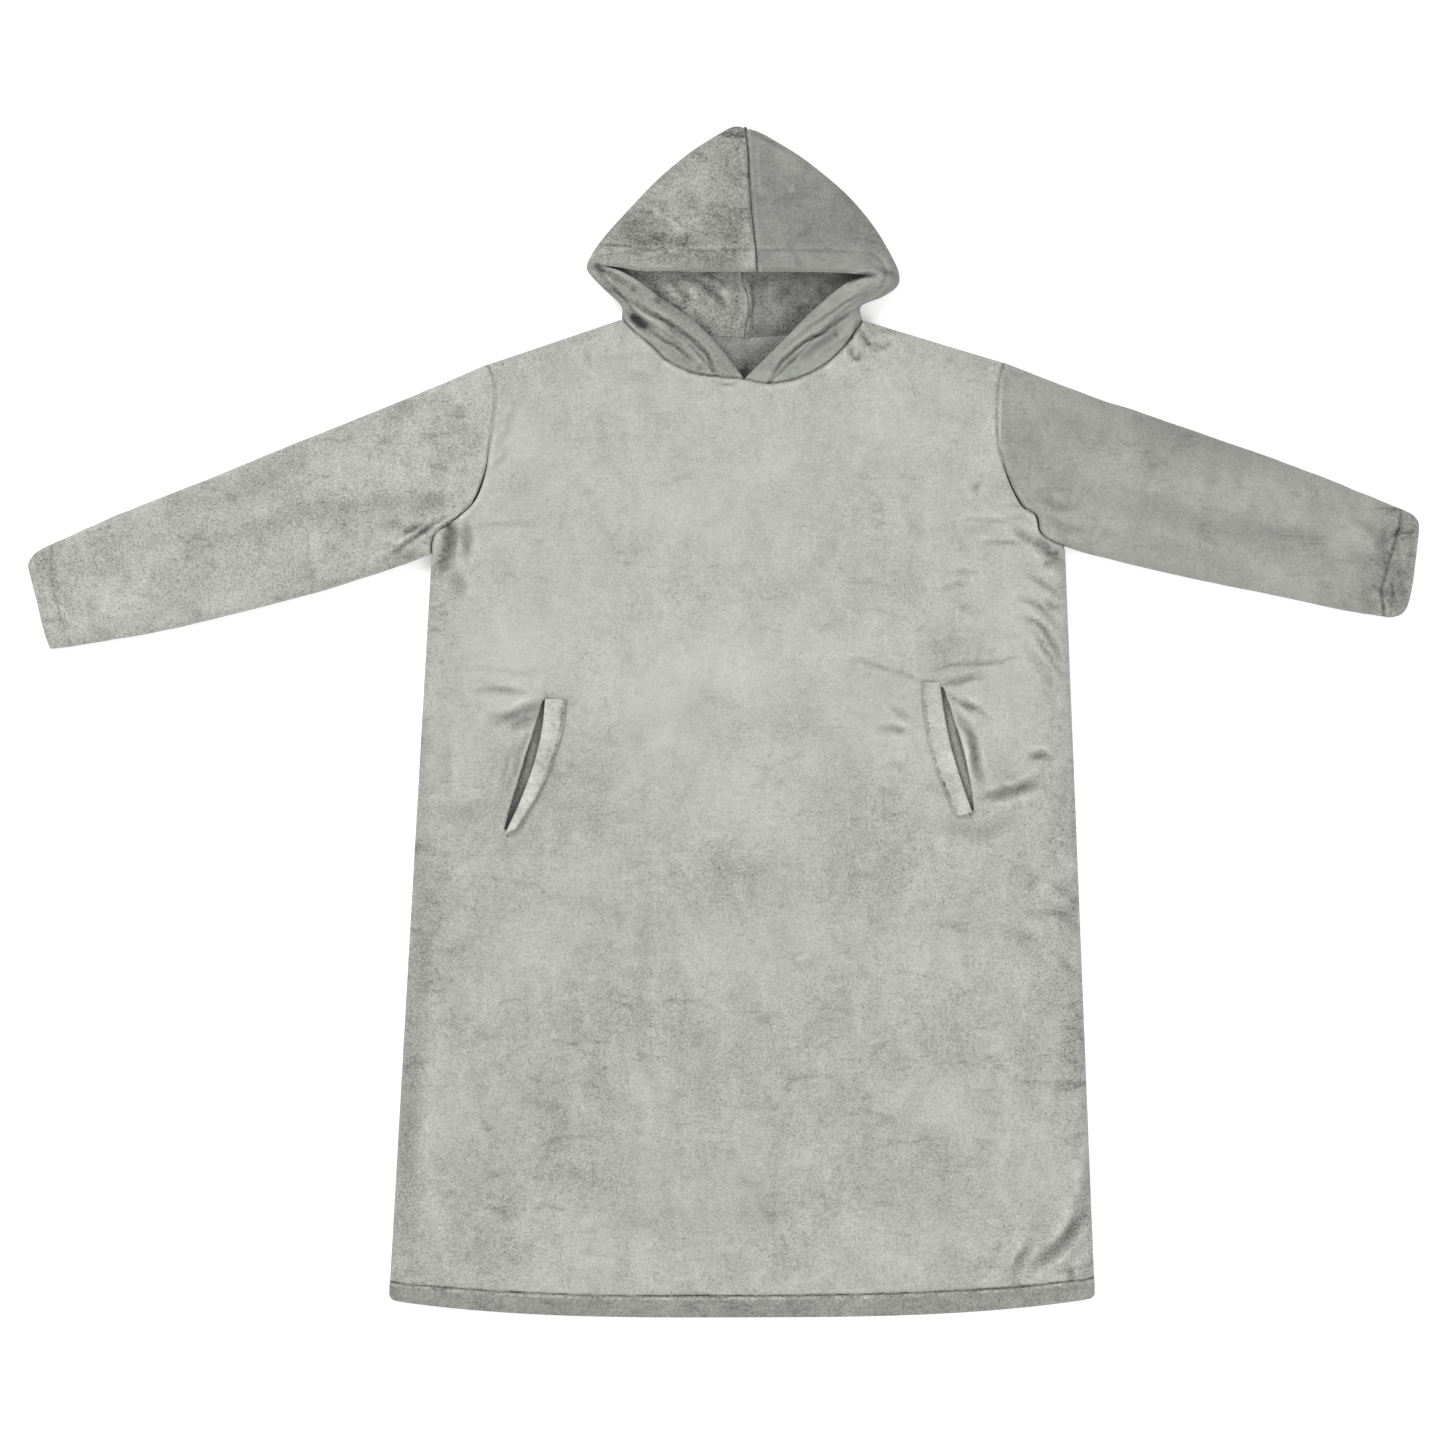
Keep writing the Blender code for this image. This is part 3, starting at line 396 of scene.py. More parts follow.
HOOD_CREASES = {
    "right": (
        # the gap between the folded strip and the neck, with painted shade in it
        (((-102, 451), (-92, 442), (-80, 432)), 5.4, -6.0, -0.58),
        (((-95, 462), (-67, 443), (-39, 426), (-27, 415), (-16, 405), (-11, 391), (-5, 383)),
         2.2, -2.8, -0.36),
        (((-80, 431), (-61, 419), (-42, 406), (-32, 398)), 2.0, -2.2, -0.27),
        (((-62, 430), (-50, 420), (-44, 412)), 5.0, -0.8, -0.12),
        (((-70, 452), (-56, 444)), 4.0, 0.6, 0.1),
        (((-108, 458), (-84, 446), (-58, 428), (-40, 414)), 3, 1.6, 0.07),
        (((-139, 496), (-119, 476), (-104, 460), (-97, 450)), 2.0, -2.2, -0.26),
        (((-144, 504), (-136, 499), (-130, 492)), 4, -3.4, -0.4),
        (((-135, 500), (-116, 488), (-100, 480)), 3.4, -1.6, -0.26),
        (((-100, 477), (-94, 474)), 4, -1.0, -0.26),
        (((-74, 465), (-68, 462)), 3.4, -0.8, -0.18),
        (((-44, 403), (-36, 397)), 4, -0.8, -0.16),
        (((-28, 391), (-20, 388)), 4, -0.8, -0.16),
        (((-118, 545), (-96, 552)), 12, -1.4, -0.1),
        (((-90, 524), (-66, 532), (-46, 524)), 5, -1.2, -0.14),
        (((-150, 510), (-120, 520), (-86, 518)), 3, 0.8, 0.14),
        (((-104, 572), (-84, 568), (-66, 556), (-52, 546), (-50, 532)), 3.0, 0.8, 0.16),
        (((-48, 520), (-42, 534), (-52, 546)), 2.6, 0.6, 0.14),
        (((-100, 508), (-76, 515), (-40, 521), (0, 518)), 2.4, 1.0, 0.12),
        (((22, 640), (27, 600), (30, 560), (34, 520)), 2.2, -0.4, -0.12),
        (((-2, 650), (24, 644)), 4, -1.0, -0.16),
        (((-6, 380), (20, 374)), 3, 1.6, 0.1),
    ),
    "left": (
        # the fold along the opening's edge, and the one between it and the neck
        (((186, 480), (158, 472), (138, 464), (122, 452), (98, 436), (75, 416)), 2.0, -1.6, -0.16),
        (((150, 457), (130, 443), (109, 429), (93, 420), (78, 408), (62, 392), (51, 376)), 2.4, -3.6, -0.36),
        (((142, 436), (124, 420), (104, 404)), 4, 1.6, 0.06),
        (((130, 438), (118, 424), (99, 408), (81, 399), (66, 389)), 5.0, -2.2, -0.17),
        (((60, 412), (70, 415), (80, 424)), 5.0, -0.6, -0.12),
        (((40, 394), (46, 390)), 4.0, -0.6, -0.12),
        (((151, 442), (146, 428), (138, 416)), 2.8, -1.8, -0.26),
        (((138, 484), (150, 490), (167, 492)), 2.6, -4.0, -0.55),
        (((169, 500), (186, 492), (190, 485)), 3.2, -1.6, -0.26),
        (((176, 486), (160, 482), (144, 474)), 3, 1.4, 0.1),
        (((123, 429), (126, 427)), 2.4, -1.2, -0.4),
        (((60, 632), (90, 616)), 8, -0.8, -0.06),
        (((34, 650), (66, 632)), 3, -1.2, -0.16),
        (((74, 588), (78, 580)), 4, 0.6, 0.14),
        (((40, 514), (44, 500)), 3.4, -0.8, -0.2),
        (((80, 512), (84, 500)), 3.4, -0.6, -0.16),
        (((36, 640), (40, 600), (44, 560)), 2.4, 0.4, 0.1),
    ),
}
# Seen on the inside of the hood's back, through the face opening. Their tones are painted shade in the
# hollows and painted highlight on the ridges.
HOOD_BACK_CREASES = {
    "right": (
        (((-78, 484), (-60, 460), (-46, 450)), 7, -2.0, -0.34),
        (((-50, 453), (-22, 432), (-8, 419)), 9, 0.0, -0.4),
        (((-34, 493), (-14, 477), (2, 461), (11, 452)), 3.6, -3.0, -0.32),
        (((-24, 495), (-2, 480), (12, 466)), 3.4, 3.0, 0.16),
        (((-60, 492), (-46, 474), (-28, 462)), 3.6, -2.4, -0.26),
        (((-48, 493), (-34, 478), (-16, 466)), 3.4, 2.4, 0.12),
        (((15, 490), (16, 462), (14, 440)), 2.8, -1.6, -0.2),
    ),
    "left": (
        (((31, 490), (33, 466), (30, 440)), 2.6, -1.6, -0.4),
        (((106, 482), (115, 463)), 4.5, -1.8, -0.22),
        (((70, 450), (100, 466)), 16, 1.4, 0.06),
        (((60, 490), (52, 466)), 6, 1.4, 0.08),
        (((60, 430), (90, 452)), 8, 0.0, -0.22),
    ),
}


# ---------------------------------------------------------------- lines and fields
def smooth_line(points, steps=16):
    """A dense smooth line through points (Catmull-Rom)."""
    p = np.array(points, float)
    p = np.vstack([2 * p[0] - p[1], p, 2 * p[-1] - p[-2]])
    t = np.linspace(0, 1, steps, endpoint=False)[:, None]
    runs = []
    for a, b, c, d in zip(p, p[1:], p[2:], p[3:]):
        runs.append(
            (2 * b + (c - a) * t + (2 * a - 5 * b + 4 * c - d) * t**2 + (3 * b - a - 3 * c + d) * t**3) / 2
        )
    return np.vstack([*runs, p[-2:-1]])


def at_shares(line, shares):
    """The points of a line at shares of its length."""
    steps = np.linalg.norm(np.diff(line, axis=0), axis=1)
    length = np.concatenate([[0], np.cumsum(steps)])
    where = np.clip(np.asarray(shares, float), 0, 1) * length[-1]
    return np.stack([np.interp(where, length, line[:, i]) for i in range(line.shape[1])], -1)


def lerp(a, b, t):
    return a + (b - a) * t


def smooth_step(low, high, value):
    t = np.clip((value - low) / (high - low), 0, 1)
    return t * t * (3 - 2 * t)


def bell(gap, width):
    """1 on a line, falling softly to nothing at about twice the width from it."""
    return np.exp(-((gap / width) ** 2))


def as_points(x, y, z):
    return np.stack([x, y, z], -1).reshape(-1, 3)


def length_of(line):
    return np.linalg.norm(np.diff(line, axis=0), axis=1).sum()


def distance(x, y, line):
    """The distance of each place from a line, and how far along it the nearest point lies."""
    best, along = np.full(np.shape(x), np.inf), np.zeros(np.shape(x))
    lengths = np.linalg.norm(np.diff(line, axis=0), axis=1)
    total, before = lengths.sum(), 0.0
    for (ax, ay), (bx, by), length in zip(line[:-1], line[1:], lengths):
        dx, dy = bx - ax, by - ay
        t = np.clip(((x - ax) * dx + (y - ay) * dy) / (length**2 + 1e-9), 0, 1)
        gap = np.hypot(x - ax - t * dx, y - ay - t * dy)
        closer = gap < best
        best = np.where(closer, gap, best)
        along = np.where(closer, (before + t * length) / total, along)
        before += length
    return best, along


LATTICE = np.random.default_rng(11).uniform(-1, 1, (256, 256))


def bumps(x, y, size, seed=0):
    """Smooth noise from -1 to 1 whose bumps are about size mm across."""
    gx, gy = x / size + 31.7 * seed, y / size + 57.3 * seed
    ix, iy = np.floor(gx).astype(int), np.floor(gy).astype(int)
    fx, fy = gx - ix, gy - iy
    sx, sy = fx * fx * (3 - 2 * fx), fy * fy * (3 - 2 * fy)

    def node(i, j):
        return LATTICE[(ix + i) % 256, (iy + j) % 256]

    return lerp(lerp(node(0, 0), node(1, 0), sx), lerp(node(0, 1), node(1, 1), sx), sy)


def layered(x, y, *layers):
    """Noise of several sizes together. Each layer: its strength, its size, mm, and its seed."""
    return sum(strength * bumps(x, y, size, seed) for strength, size, seed in layers)


def pressed(x, y, creases):
    """The relief and the tone that a list of creases gives each place. A fold's tone is painted shade down it
    with a painted highlight on each shoulder; a ridge's tone is a painted highlight.
    """
    wx = x + layered(x, y, (1.4, 17, 3), (0.6, 7, 5))
    wy = y + layered(x, y, (1.4, 17, 4), (0.6, 7, 6))
    relief, tone = np.zeros_like(x), np.zeros_like(x)
    for points, width, lift, shade in creases:
        line = smooth_line(points, 6)
        low, high = line.min(axis=0) - 4 * width, line.max(axis=0) + 4 * width
        near = (wx > low[0]) & (wx < high[0]) & (wy > low[1]) & (wy < high[1])
        if not near.any():
            continue
        nx, ny = wx[near], wy[near]
        stray = (0.22 if lift else 0.5) * width  # a patch's outline wanders more than a fold's
        nx = nx + layered(nx, ny, (stray, 2.4 * width, 13), (0.5 * stray, 0.9 * width, 14))
        ny = ny + layered(nx, ny, (stray, 2.4 * width, 15), (0.5 * stray, 0.9 * width, 16))
        gap, along = distance(nx, ny, line)
        q = (gap / width) ** 2
        fade = np.sqrt(np.clip(np.sin(np.pi * np.clip(along, 0.02, 0.98)), 0, 1))
        relief[near] += CREASE_LIFT * lift * fade * (1 - 0.6 * q) * np.exp(-0.6 * q)
        # the shoulders beside a crease get the opposite tone: a painted highlight beside a fold
        shoulder = 0.3 * bell(gap / width - 1.9, 0.6) if lift else 0.0
        tone[near] += (CREASE_TONE if lift else 1.0) * shade * fade * (np.exp(-0.9 * q) - shoulder)
    return relief, tone


def brushed_patches(x, y, patches):
    """The tone that a list of soft patches gives each place."""
    return pressed(x, y, [(points, width, 0, shade) for points, width, shade in patches])[1]


def share_at(corner, line):
    """How far along a line, as a share of its length, a corner on it lies."""
    return distance(*(np.array([c]) for c in corner), line)[1][0]


def rounded(inset, reach):
    """From 0 at an edge to 1 at reach from it, along a quarter of an ellipse."""
    return np.sqrt(1 - (1 - np.clip(inset / reach, 0, 1)) ** 2)


def stations(length, cell=CELL, fine=(0, 0.6, 1.6, 3.2, 5.6, 8.8)):
    """Shares of a length, close together near both ends and a cell apart between them."""
    ends = np.array(fine) / length
    count = max(2, round((length - 2 * fine[-1]) / cell))
    middle = np.linspace(ends[-1], 1 - ends[-1], count + 1)
    return np.concatenate([ends[:-1], middle, 1 - ends[-2::-1]])


BODY_LINES = [smooth_line((NECK_SIDE[s], SHOULDER_TIP[s]), 2) for s in SIDES]
BODY_LINES += [smooth_line((ARMPIT[s], HEM_CORNER[s]), 2) for s in SIDES]
BODY_LINES += [smooth_line(SLEEVE_UPPER[s], 3) for s in SIDES]
BODY_LINES += [smooth_line(SLEEVE_LOWER[s], 3) for s in SIDES]


def body_inset(x, y):
    """How far each place lies in from the edge where front and back meet."""
    return np.min([distance(x, y, line)[0] for line in BODY_LINES], axis=0)


def edge_shade(inset):
    """Painted shade: the cloth darkens a little towards its rounded edge, where it turns away from the light.
    """
    return -0.05 * bell(inset, 7) - 0.02 * bell(inset, 20)


def hood_edge_gap(x, y, side):
    return distance(x, y, smooth_line(HOOD_EDGE_LINE[side], 6))[0]


def mouth_x(side, y, steps=16):
    """Where the pocket's mouth lies at each y."""
    mouth = smooth_line(WELT_MOUTH[side], steps)[::-1]
    return np.interp(y, mouth[:, 1], mouth[:, 0])


# ---------------------------------------------------------------- cloth from grids
def grid_faces(rows, columns, first=0, wrap=False, keep=None):
    """The quads of a grid of vertices numbered row by row."""
    across = np.arange(columns if wrap else columns - 1)
    a = np.arange(rows - 1)[:, None] * columns + across[None, :]
    b = np.arange(rows - 1)[:, None] * columns + (across + 1)[None, :] % columns
    quads = np.stack([a, b, b + columns, a + columns], -1).reshape(-1, 4) + first
    return quads if keep is None else quads[keep.ravel()]


def cloth(name, points, faces, tone, finish, thickness=CLOTH, flip=False, merge=0.0, ruffle=1.0):
    """A closed sheet from its outer surface: it gets its thickness inwards. Each vertex keeps its
    rest place, its tone and how ruffled the pile is, so that the pattern stays on the moving cloth."""
    mesh = bpy.data.meshes.new(name)
    mesh.from_pydata((points * MM).tolist(), [], (faces[:, ::-1] if flip else faces).tolist())
    for key, values in (("tone", tone), ("ruffle", np.broadcast_to(ruffle, tone.shape))):
        layer = mesh.attributes.new(key, "FLOAT", "POINT")
        layer.data.foreach_set("value", np.ascontiguousarray(values, np.float32))
    if merge:
        shape = bmesh.new()
        shape.from_mesh(mesh)
        bmesh.ops.remove_doubles(shape, verts=shape.verts, dist=merge * MM)
        loose = [vertex for vertex in shape.verts if not vertex.link_faces]
        bmesh.ops.delete(shape, geom=loose, context="VERTS")
        shape.to_mesh(mesh)
        shape.free()
    piece = bpy.data.objects.new(name, mesh)
    bpy.context.scene.collection.objects.link(piece)
    if thickness:
        solidify = piece.modifiers.new("thickness", "SOLIDIFY")
        solidify.thickness = thickness * MM
        solidify.offset = -1
        bpy.context.view_layer.update()
        evaluated = piece.evaluated_get(bpy.context.evaluated_depsgraph_get())
        whole = bpy.data.meshes.new_from_object(evaluated)
        piece.modifiers.clear()
        piece.data = whole
        bpy.data.meshes.remove(mesh)
        whole.name = name
        mesh = whole
    places = np.zeros(len(mesh.vertices) * 3, np.float32)
    mesh.vertices.foreach_get("co", places)
    mesh.attributes.new("pile", "FLOAT_VECTOR", "POINT").data.foreach_set("vector", places)
    mesh.materials.clear()
    mesh.materials.append(finish)
    mesh.shade_smooth()
    return piece


def soft_band(name, edge_a, edge_b, bottom, thickness, finish, tone=0.0, around=16, fine=2.0, dents=0.8,
              rim=0.0):
    """A turned and stitched band of cloth between two lines: a flat tube, full in the middle. Rim is how
    much lighter or darker its pile is along edge_b, where the stitches push it up or draw it in."""
    length = length_of(edge_a)
    shares = stations(length, fine, (0, 0.5, 1.2, 2.4))
    a, b = at_shares(edge_a, shares), at_shares(edge_b, shares)
    turn = np.linspace(0, 2 * np.pi, around, endpoint=False)
    across = 0.5 - 0.5 * np.sign(np.cos(turn)) * np.abs(np.cos(turn)) ** 0.8
    up = 0.5 + 0.5 * np.sign(np.sin(turn)) * np.abs(np.sin(turn)) ** 0.7
    end = np.minimum(shares, 1 - shares) * length
    full = 0.25 + 0.75 * rounded(end, 3.0)
    xy = lerp(a[:, None, :], b[:, None, :], across[None, :, None])
    x, y = xy[..., 0], xy[..., 1]
    level = bottom(x, y) if callable(bottom) else bottom
    rise = thickness * (0.5 + (up[None, :] - 0.5) * full[:, None])
    dented = np.where(up > 0.5, dents, 0)[None, :] * layered(x, y, (1.0, 9, 8), (0.6, 4, 9))
    points = as_points(x, y, level + rise + dented)
    faces = grid_faces(len(shares), around, wrap=True)
    px, py = points[:, 0], points[:, 1]
    pushed = np.broadcast_to(bell(across - 0.9, 0.07), x.shape).ravel()
    pushed = pushed * (0.8 + 0.6 * bumps(px, py, 8, 19))
    shade = tone + rim * pushed + layered(px, py, (0.07, 20, 10), (0.05, 9, 10))
    ruffle = 1.0 + (2.0 * pushed if rim else 0.0)
    piece = cloth(name, points, faces, shade, finish, thickness=0, ruffle=ruffle)
    shape = bmesh.new()
    shape.from_mesh(piece.data)
    bmesh.ops.holes_fill(shape, edges=[edge for edge in shape.edges if edge.is_boundary], sides=around)
    bmesh.ops.recalc_face_normals(shape, faces=shape.faces)
    shape.to_mesh(piece.data)
    shape.free()
    return piece


# ---------------------------------------------------------------- pile and thread
class Value:
    """A shader value, so that shader maths reads as Python."""

    def __init__(self, finish, socket):
        self.finish, self.socket = finish, socket

    def maths(self, operation, first, second):
        return self.finish.node("ShaderNodeMath", {"operation": operation}, {0: first, 1: second})

    def __add__(self, other):
        return self.maths("ADD", self, other)

    def __sub__(self, other):
        return self.maths("SUBTRACT", self, other)

    def __rsub__(self, other):
        return self.maths("SUBTRACT", other, self)

    def __mul__(self, other):
        return self.maths("MULTIPLY", self, other)

    __radd__ = __add__
    __rmul__ = __mul__


class Finish:
    """A material being made: node() adds a node, and values combine as Python expressions."""

    def __init__(self, name, roughness, sheen=0.0):
        self.material = bpy.data.materials.new(name)
        self.material.use_nodes = True
        self.tree = self.material.node_tree
        self.shader = self.tree.nodes["Principled BSDF"]
        self.set("Roughness", roughness)
        self.set("Specular IOR Level", 0.15)
        self.set("Sheen Weight", sheen)
        self.set("Sheen Roughness", 0.45)

    def node(self, kind, settings=None, inputs=None, output=0):
        made = self.tree.nodes.new(kind)
        for key, value in (settings or {}).items():
            setattr(made, key, value)
        for key, value in (inputs or {}).items():
            self.feed(made.inputs[key], value)
        return Value(self, made.outputs[output])

    def feed(self, socket, value):
        if isinstance(value, Value):
            self.tree.links.new(value.socket, socket)
        else:
            socket.default_value = value

    def noise(self, place, scale, detail=2.0, rough=0.5, distortion=0.0):
        """Noise round 0, about -0.5 to 0.5."""
        inputs = {"Vector": place, "Scale": scale, "Detail": detail, "Roughness": rough,
                  "Distortion": distortion}
        return self.node("ShaderNodeTexNoise", {"noise_dimensions": "3D"}, inputs) - 0.5

    def stretched(self, place, scale, turn=0.0):
        return self.node("ShaderNodeMapping", {}, {"Vector": place, "Scale": scale, "Rotation": (0, 0, turn)})

    def set(self, name, value):
        self.feed(self.shader.inputs[name], value)

    def set_colour(self, colour, shade):
        inputs = {"Vector": colour, "Scale": shade}
        self.set("Base Color", self.node("ShaderNodeVectorMath", {"operation": "SCALE"}, inputs))

    def set_relief(self, height, strength, depth):
        inputs = {"Strength": strength, "Distance": depth, "Height": height}
        self.set("Normal", self.node("ShaderNodeBump", {}, inputs))


def fleece(name, colour, brushed, smudged, grain, lean=0.0):
    """Plush fleece: patches where the pile was brushed another way, streaks, and fine tufts. Lean turns
    the streaks, in radians."""
    f = Finish(name, roughness=0.92, sheen=0.12)
    place = f.node("ShaderNodeAttribute", {"attribute_name": "pile"}, output="Vector")
    creased = f.node("ShaderNodeAttribute", {"attribute_name": "tone"}, output="Fac")
    ruffle = f.node("ShaderNodeAttribute", {"attribute_name": "ruffle"}, output="Fac")
    patches = f.noise(f.stretched(place, (1, 1.4, 1), lean), 6.5, 3.0, 0.55, 0.5)
    smudges = f.noise(f.stretched(place, (1.6, 1, 1), lean + 0.5), 22.0, 4.0, 0.6, 0.6)
    streaks = f.noise(f.stretched(place, (1, 2.4, 1), lean), 70.0, 3.0, 0.6, 0.4)
    wisps = f.node(
        "ShaderNodeMapRange", {"interpolation_type": "SMOOTHSTEP"},
        {"Value": f.noise(f.stretched(place, (1, 2.3, 1), lean - 0.2), 23.0, 4.0, 0.64, 0.9),
         "From Min": 0.04, "From Max": 0.2, "To Min": 0.0, "To Max": 1.0},
    )
    tufts = f.noise(place, 420.0, 2.0, 0.62, 0.3)
    strands = f.node("ShaderNodeMath", {"operation": "ABSOLUTE"}, {0: f.noise(place, 250.0, 1.0, 0.5, 1.2)})
    curls = 0.075 - strands
    fuzz = f.noise(f.stretched(place, (1, 1.7, 1), 0.3), 950.0, 2.0, 0.6)
    texture = tufts * 0.8 + curls * 0.9 + fuzz * 0.9
    brushing = smudges * smudged + streaks * (smudged * 0.45) - wisps * (smudged * 0.27)
    tone = patches * brushed + (brushing + texture * grain) * ruffle
    # the tone attribute carries painted light and shade (of creases, seams, edges and the hood's inside)
    # along with the pile's own patches
    crease = creased * (1.0 + smudges * 2.4 + streaks * 1.6)
    shade = f.node("ShaderNodeMath", {"operation": "MAXIMUM"}, {0: 1.0 + tone + crease, 1: 0.16})
    f.set_colour(colour, shade)
    f.set("Roughness", 0.9 + texture * 0.25)
    height = (tufts * 1.2 + curls * 1.4 + fuzz * 0.5 + streaks * 0.9) * ruffle + smudges * 0.8
    f.set_relief(height, 0.8, 0.0022)
    return f.material


def thread(name, colour):
    """Overlocked edge: thread wound across the seam allowance."""
    f = Finish(name, roughness=0.75, sheen=0.1)
    place = f.node("ShaderNodeTexCoord", {}, output="Object")
    wound = f.noise(f.stretched(place, (1, 1, 2.5), 0.6), 700.0, 3.0, 0.6)
    lint = f.noise(place, 160.0, 3.0, 0.6)
    f.set_colour(colour, 1.0 + wound * 0.5 + lint * 0.3)
    f.set_relief(wound, 0.6, 0.0008)
    return f.material


BODY_FLEECE = fleece("body_fleece", (0.382, 0.387, 0.359), 0.22, smudged=0.6, grain=0.95)
# The two sleeves and the hood's two halves are lighter and darker copies of the one fleece: painted light and
# shade, for how each part's pile catches the light.
SLEEVE_FLEECE = {
    "right": fleece("right_sleeve_fleece", (0.396, 0.401, 0.373), 0.3, smudged=0.75, grain=1.25, lean=0.4),
    "left": fleece("left_sleeve_fleece", (0.312, 0.316, 0.293), 0.4, smudged=0.6, grain=0.6, lean=-0.4),
}
HOOD_FLEECE = {
    "right": fleece("right_hood_fleece", (0.282, 0.286, 0.264), 0.4, smudged=1.3, grain=1.8, lean=0.8),
    "left": fleece("left_hood_fleece", (0.234, 0.238, 0.220), 0.4, smudged=0.6, grain=0.8, lean=-0.7),
}
# The pocket bags show only down the slits: their darker fleece is painted shade.
POCKET_FLEECE = fleece("pocket_fleece", (0.27, 0.273, 0.253), 0.1, smudged=0.8, grain=1.4)
THREAD = thread("overlock_thread", (0.22, 0.223, 0.207))


# ---------------------------------------------------------------- body panels
def hem_line(x):
    (right_x, right_y), (left_x, left_y) = HEM_CORNER["right"], HEM_CORNER["left"]
    share = (x - right_x) / (left_x - right_x)
    return lerp(right_y, left_y, share) - HEM_SAG * (1 - np.abs(2 * share - 1) ** 3)


def hem_depth(x):
    share = (x - HEM_CORNER["right"][0]) / (HEM_CORNER["left"][0] - HEM_CORNER["right"][0])
    swell = HEM_SWELL * (1 - (2 * share - 1) ** 6) + 0.5 * bumps(x, 0 * x, 60, 2)
    return lerp(HEM_DEPTH["right"], HEM_DEPTH["left"], share) + swell


def side_x(side, y):
    (hem_x, hem_y), (pit_x, pit_y) = HEM_CORNER[side], ARMPIT[side]
    return lerp(hem_x, pit_x, (y - hem_y) / (pit_y - hem_y))


def denser(shares, ranges, gain):
    """Shares moved closer together, by about gain, inside ranges of shares."""
    t = np.linspace(0, 1, 2001)
    weight = np.ones_like(t)
    for low, high in ranges:
        weight += (gain - 1) * smooth_step(low - 0.03, low, t) * (1 - smooth_step(high, high + 0.03, t))
    total = np.concatenate([[0], np.cumsum((weight[1:] + weight[:-1]) / 2)])
    return np.interp(shares * total[-1], total, t)


def panel_plan(neck, cell):
    """The places of a body panel's vertices: rows from the hem up, columns from right to left."""
    width = HEM_CORNER["left"][0] - HEM_CORNER["right"][0]
    u = denser(stations(width, cell), ((0, 0.24), (0.66, 1)), 1.8)
    pit_y = (ARMPIT["right"][1] + ARMPIT["left"][1]) / 2
    low_rows = denser(stations(pit_y - HEM_CORNER["right"][1], cell), ((0, 0.1), (0.62, 1)), 1.7)[:-5]
    hole = {s: smooth_line(ARMHOLE[s]) for s in SIDES}
    top_rows = stations(235, cell)[1:]
    top = smooth_line((SHOULDER_TIP["right"], NECK_SIDE["right"]), 2)[:-1]
    neck_line = smooth_line(NECKLINE[neck])
    tips = [SHOULDER_TIP[s][0] for s in SIDES]
    x_top = lerp(*tips, u)
    shoulder = np.vstack([top, neck_line, np.array([SHOULDER_TIP["left"]], float)])
    y_top = np.interp(x_top, shoulder[:, 0], shoulder[:, 1])
    rows = []
    for v in low_rows:
        y_right, y_left = (lerp(HEM_CORNER[s][1] + HEM_DEPTH[s], ARMPIT[s][1], v) for s in SIDES)
        x = lerp(side_x("right", y_right), side_x("left", y_left), u)
        low = hem_line(x) + hem_depth(x) + SEAM_HALF_GAP
        rows.append((x, lerp(low, lerp(ARMPIT["right"][1], ARMPIT["left"][1], u), v)))
    for v in top_rows:
        right, left = at_shares(hole["right"], v), at_shares(hole["left"], v)
        right, left = right + (SEAM_HALF_GAP, 0), left - (SEAM_HALF_GAP, 0)
        x, y = lerp(right[0], left[0], u), lerp(right[1], left[1], u)
        base = lerp(SHOULDER_TIP["right"][1], SHOULDER_TIP["left"][1], u)
        pull = smooth_step(0.0, 1.0, v)
        rows.append((lerp(x, x_top, pull * v), y + (y_top - base) * v))
    x, y = (np.array([row[i] for row in rows]) for i in (0, 1))
    return x, y


def slit_warp(x, y, side):
    """Moves a panel's columns so that one pair of them opens along the pocket's slit."""
    top, bottom, half = SLIT[side]
    row = np.argmin(np.abs(y[:, x.shape[1] // 2] - (top + bottom) / 2))
    line_x = mouth_x(side, y)
    column = np.argmin(np.abs(x[row] - line_x[row]))
    middle = (x[:, column] + x[:, column + 1])[:, None] / 2
    share = (y - bottom) / (top - bottom)
    opening = half * np.clip(np.sin(np.pi * np.clip(share, 0, 1)), 0, 1) ** 0.8
    outwards = -INWARDS[side]
    centre = line_x + outwards * (opening * 0.7)
    window = smooth_step(-1.1, -0.05, share) * (1 - smooth_step(1.05, 2.1, share))
    reach = bell(x - middle, 90)
    side_of = np.sign(np.arange(x.shape[1]) - column - 0.5)[None, :]
    spread = side_of * opening * np.exp(-np.maximum(np.abs(x - middle) - 2, 0) / 22)
    held = smooth_step(0, 50, x - x[:, :1]) * smooth_step(0, 50, x[:, -1:] - x)
    moved = x + ((centre - middle) * window * reach + spread) * held
    rows = np.where((y[:, column] < top) & (y[:, column] > bottom))[0]
    return moved, column, rows


def front_surface(x, y):
    """Height and tone of the front of the body."""
    inset = body_inset(x, y)
    relief, tone = pressed(x, y, FRONT_CREASES)
    tone = tone + brushed_patches(x, y, FRONT_PATCHES)
    fullness = rounded(inset, BODY_EDGE)
    soft = layered(x, y, (1.5, 130, 1), (0.9, 55, 2), (0.45, 22, 3), (0.16, 9, 4))
    half = BODY_HEIGHT / 2
    low = half + EDGE_HALF_GAP
    z = low + (BODY_HEIGHT - low) * fullness + (relief + soft - 0.4) * smooth_step(0, 26, inset)
    return np.maximum(z, low), tone + edge_shade(inset)


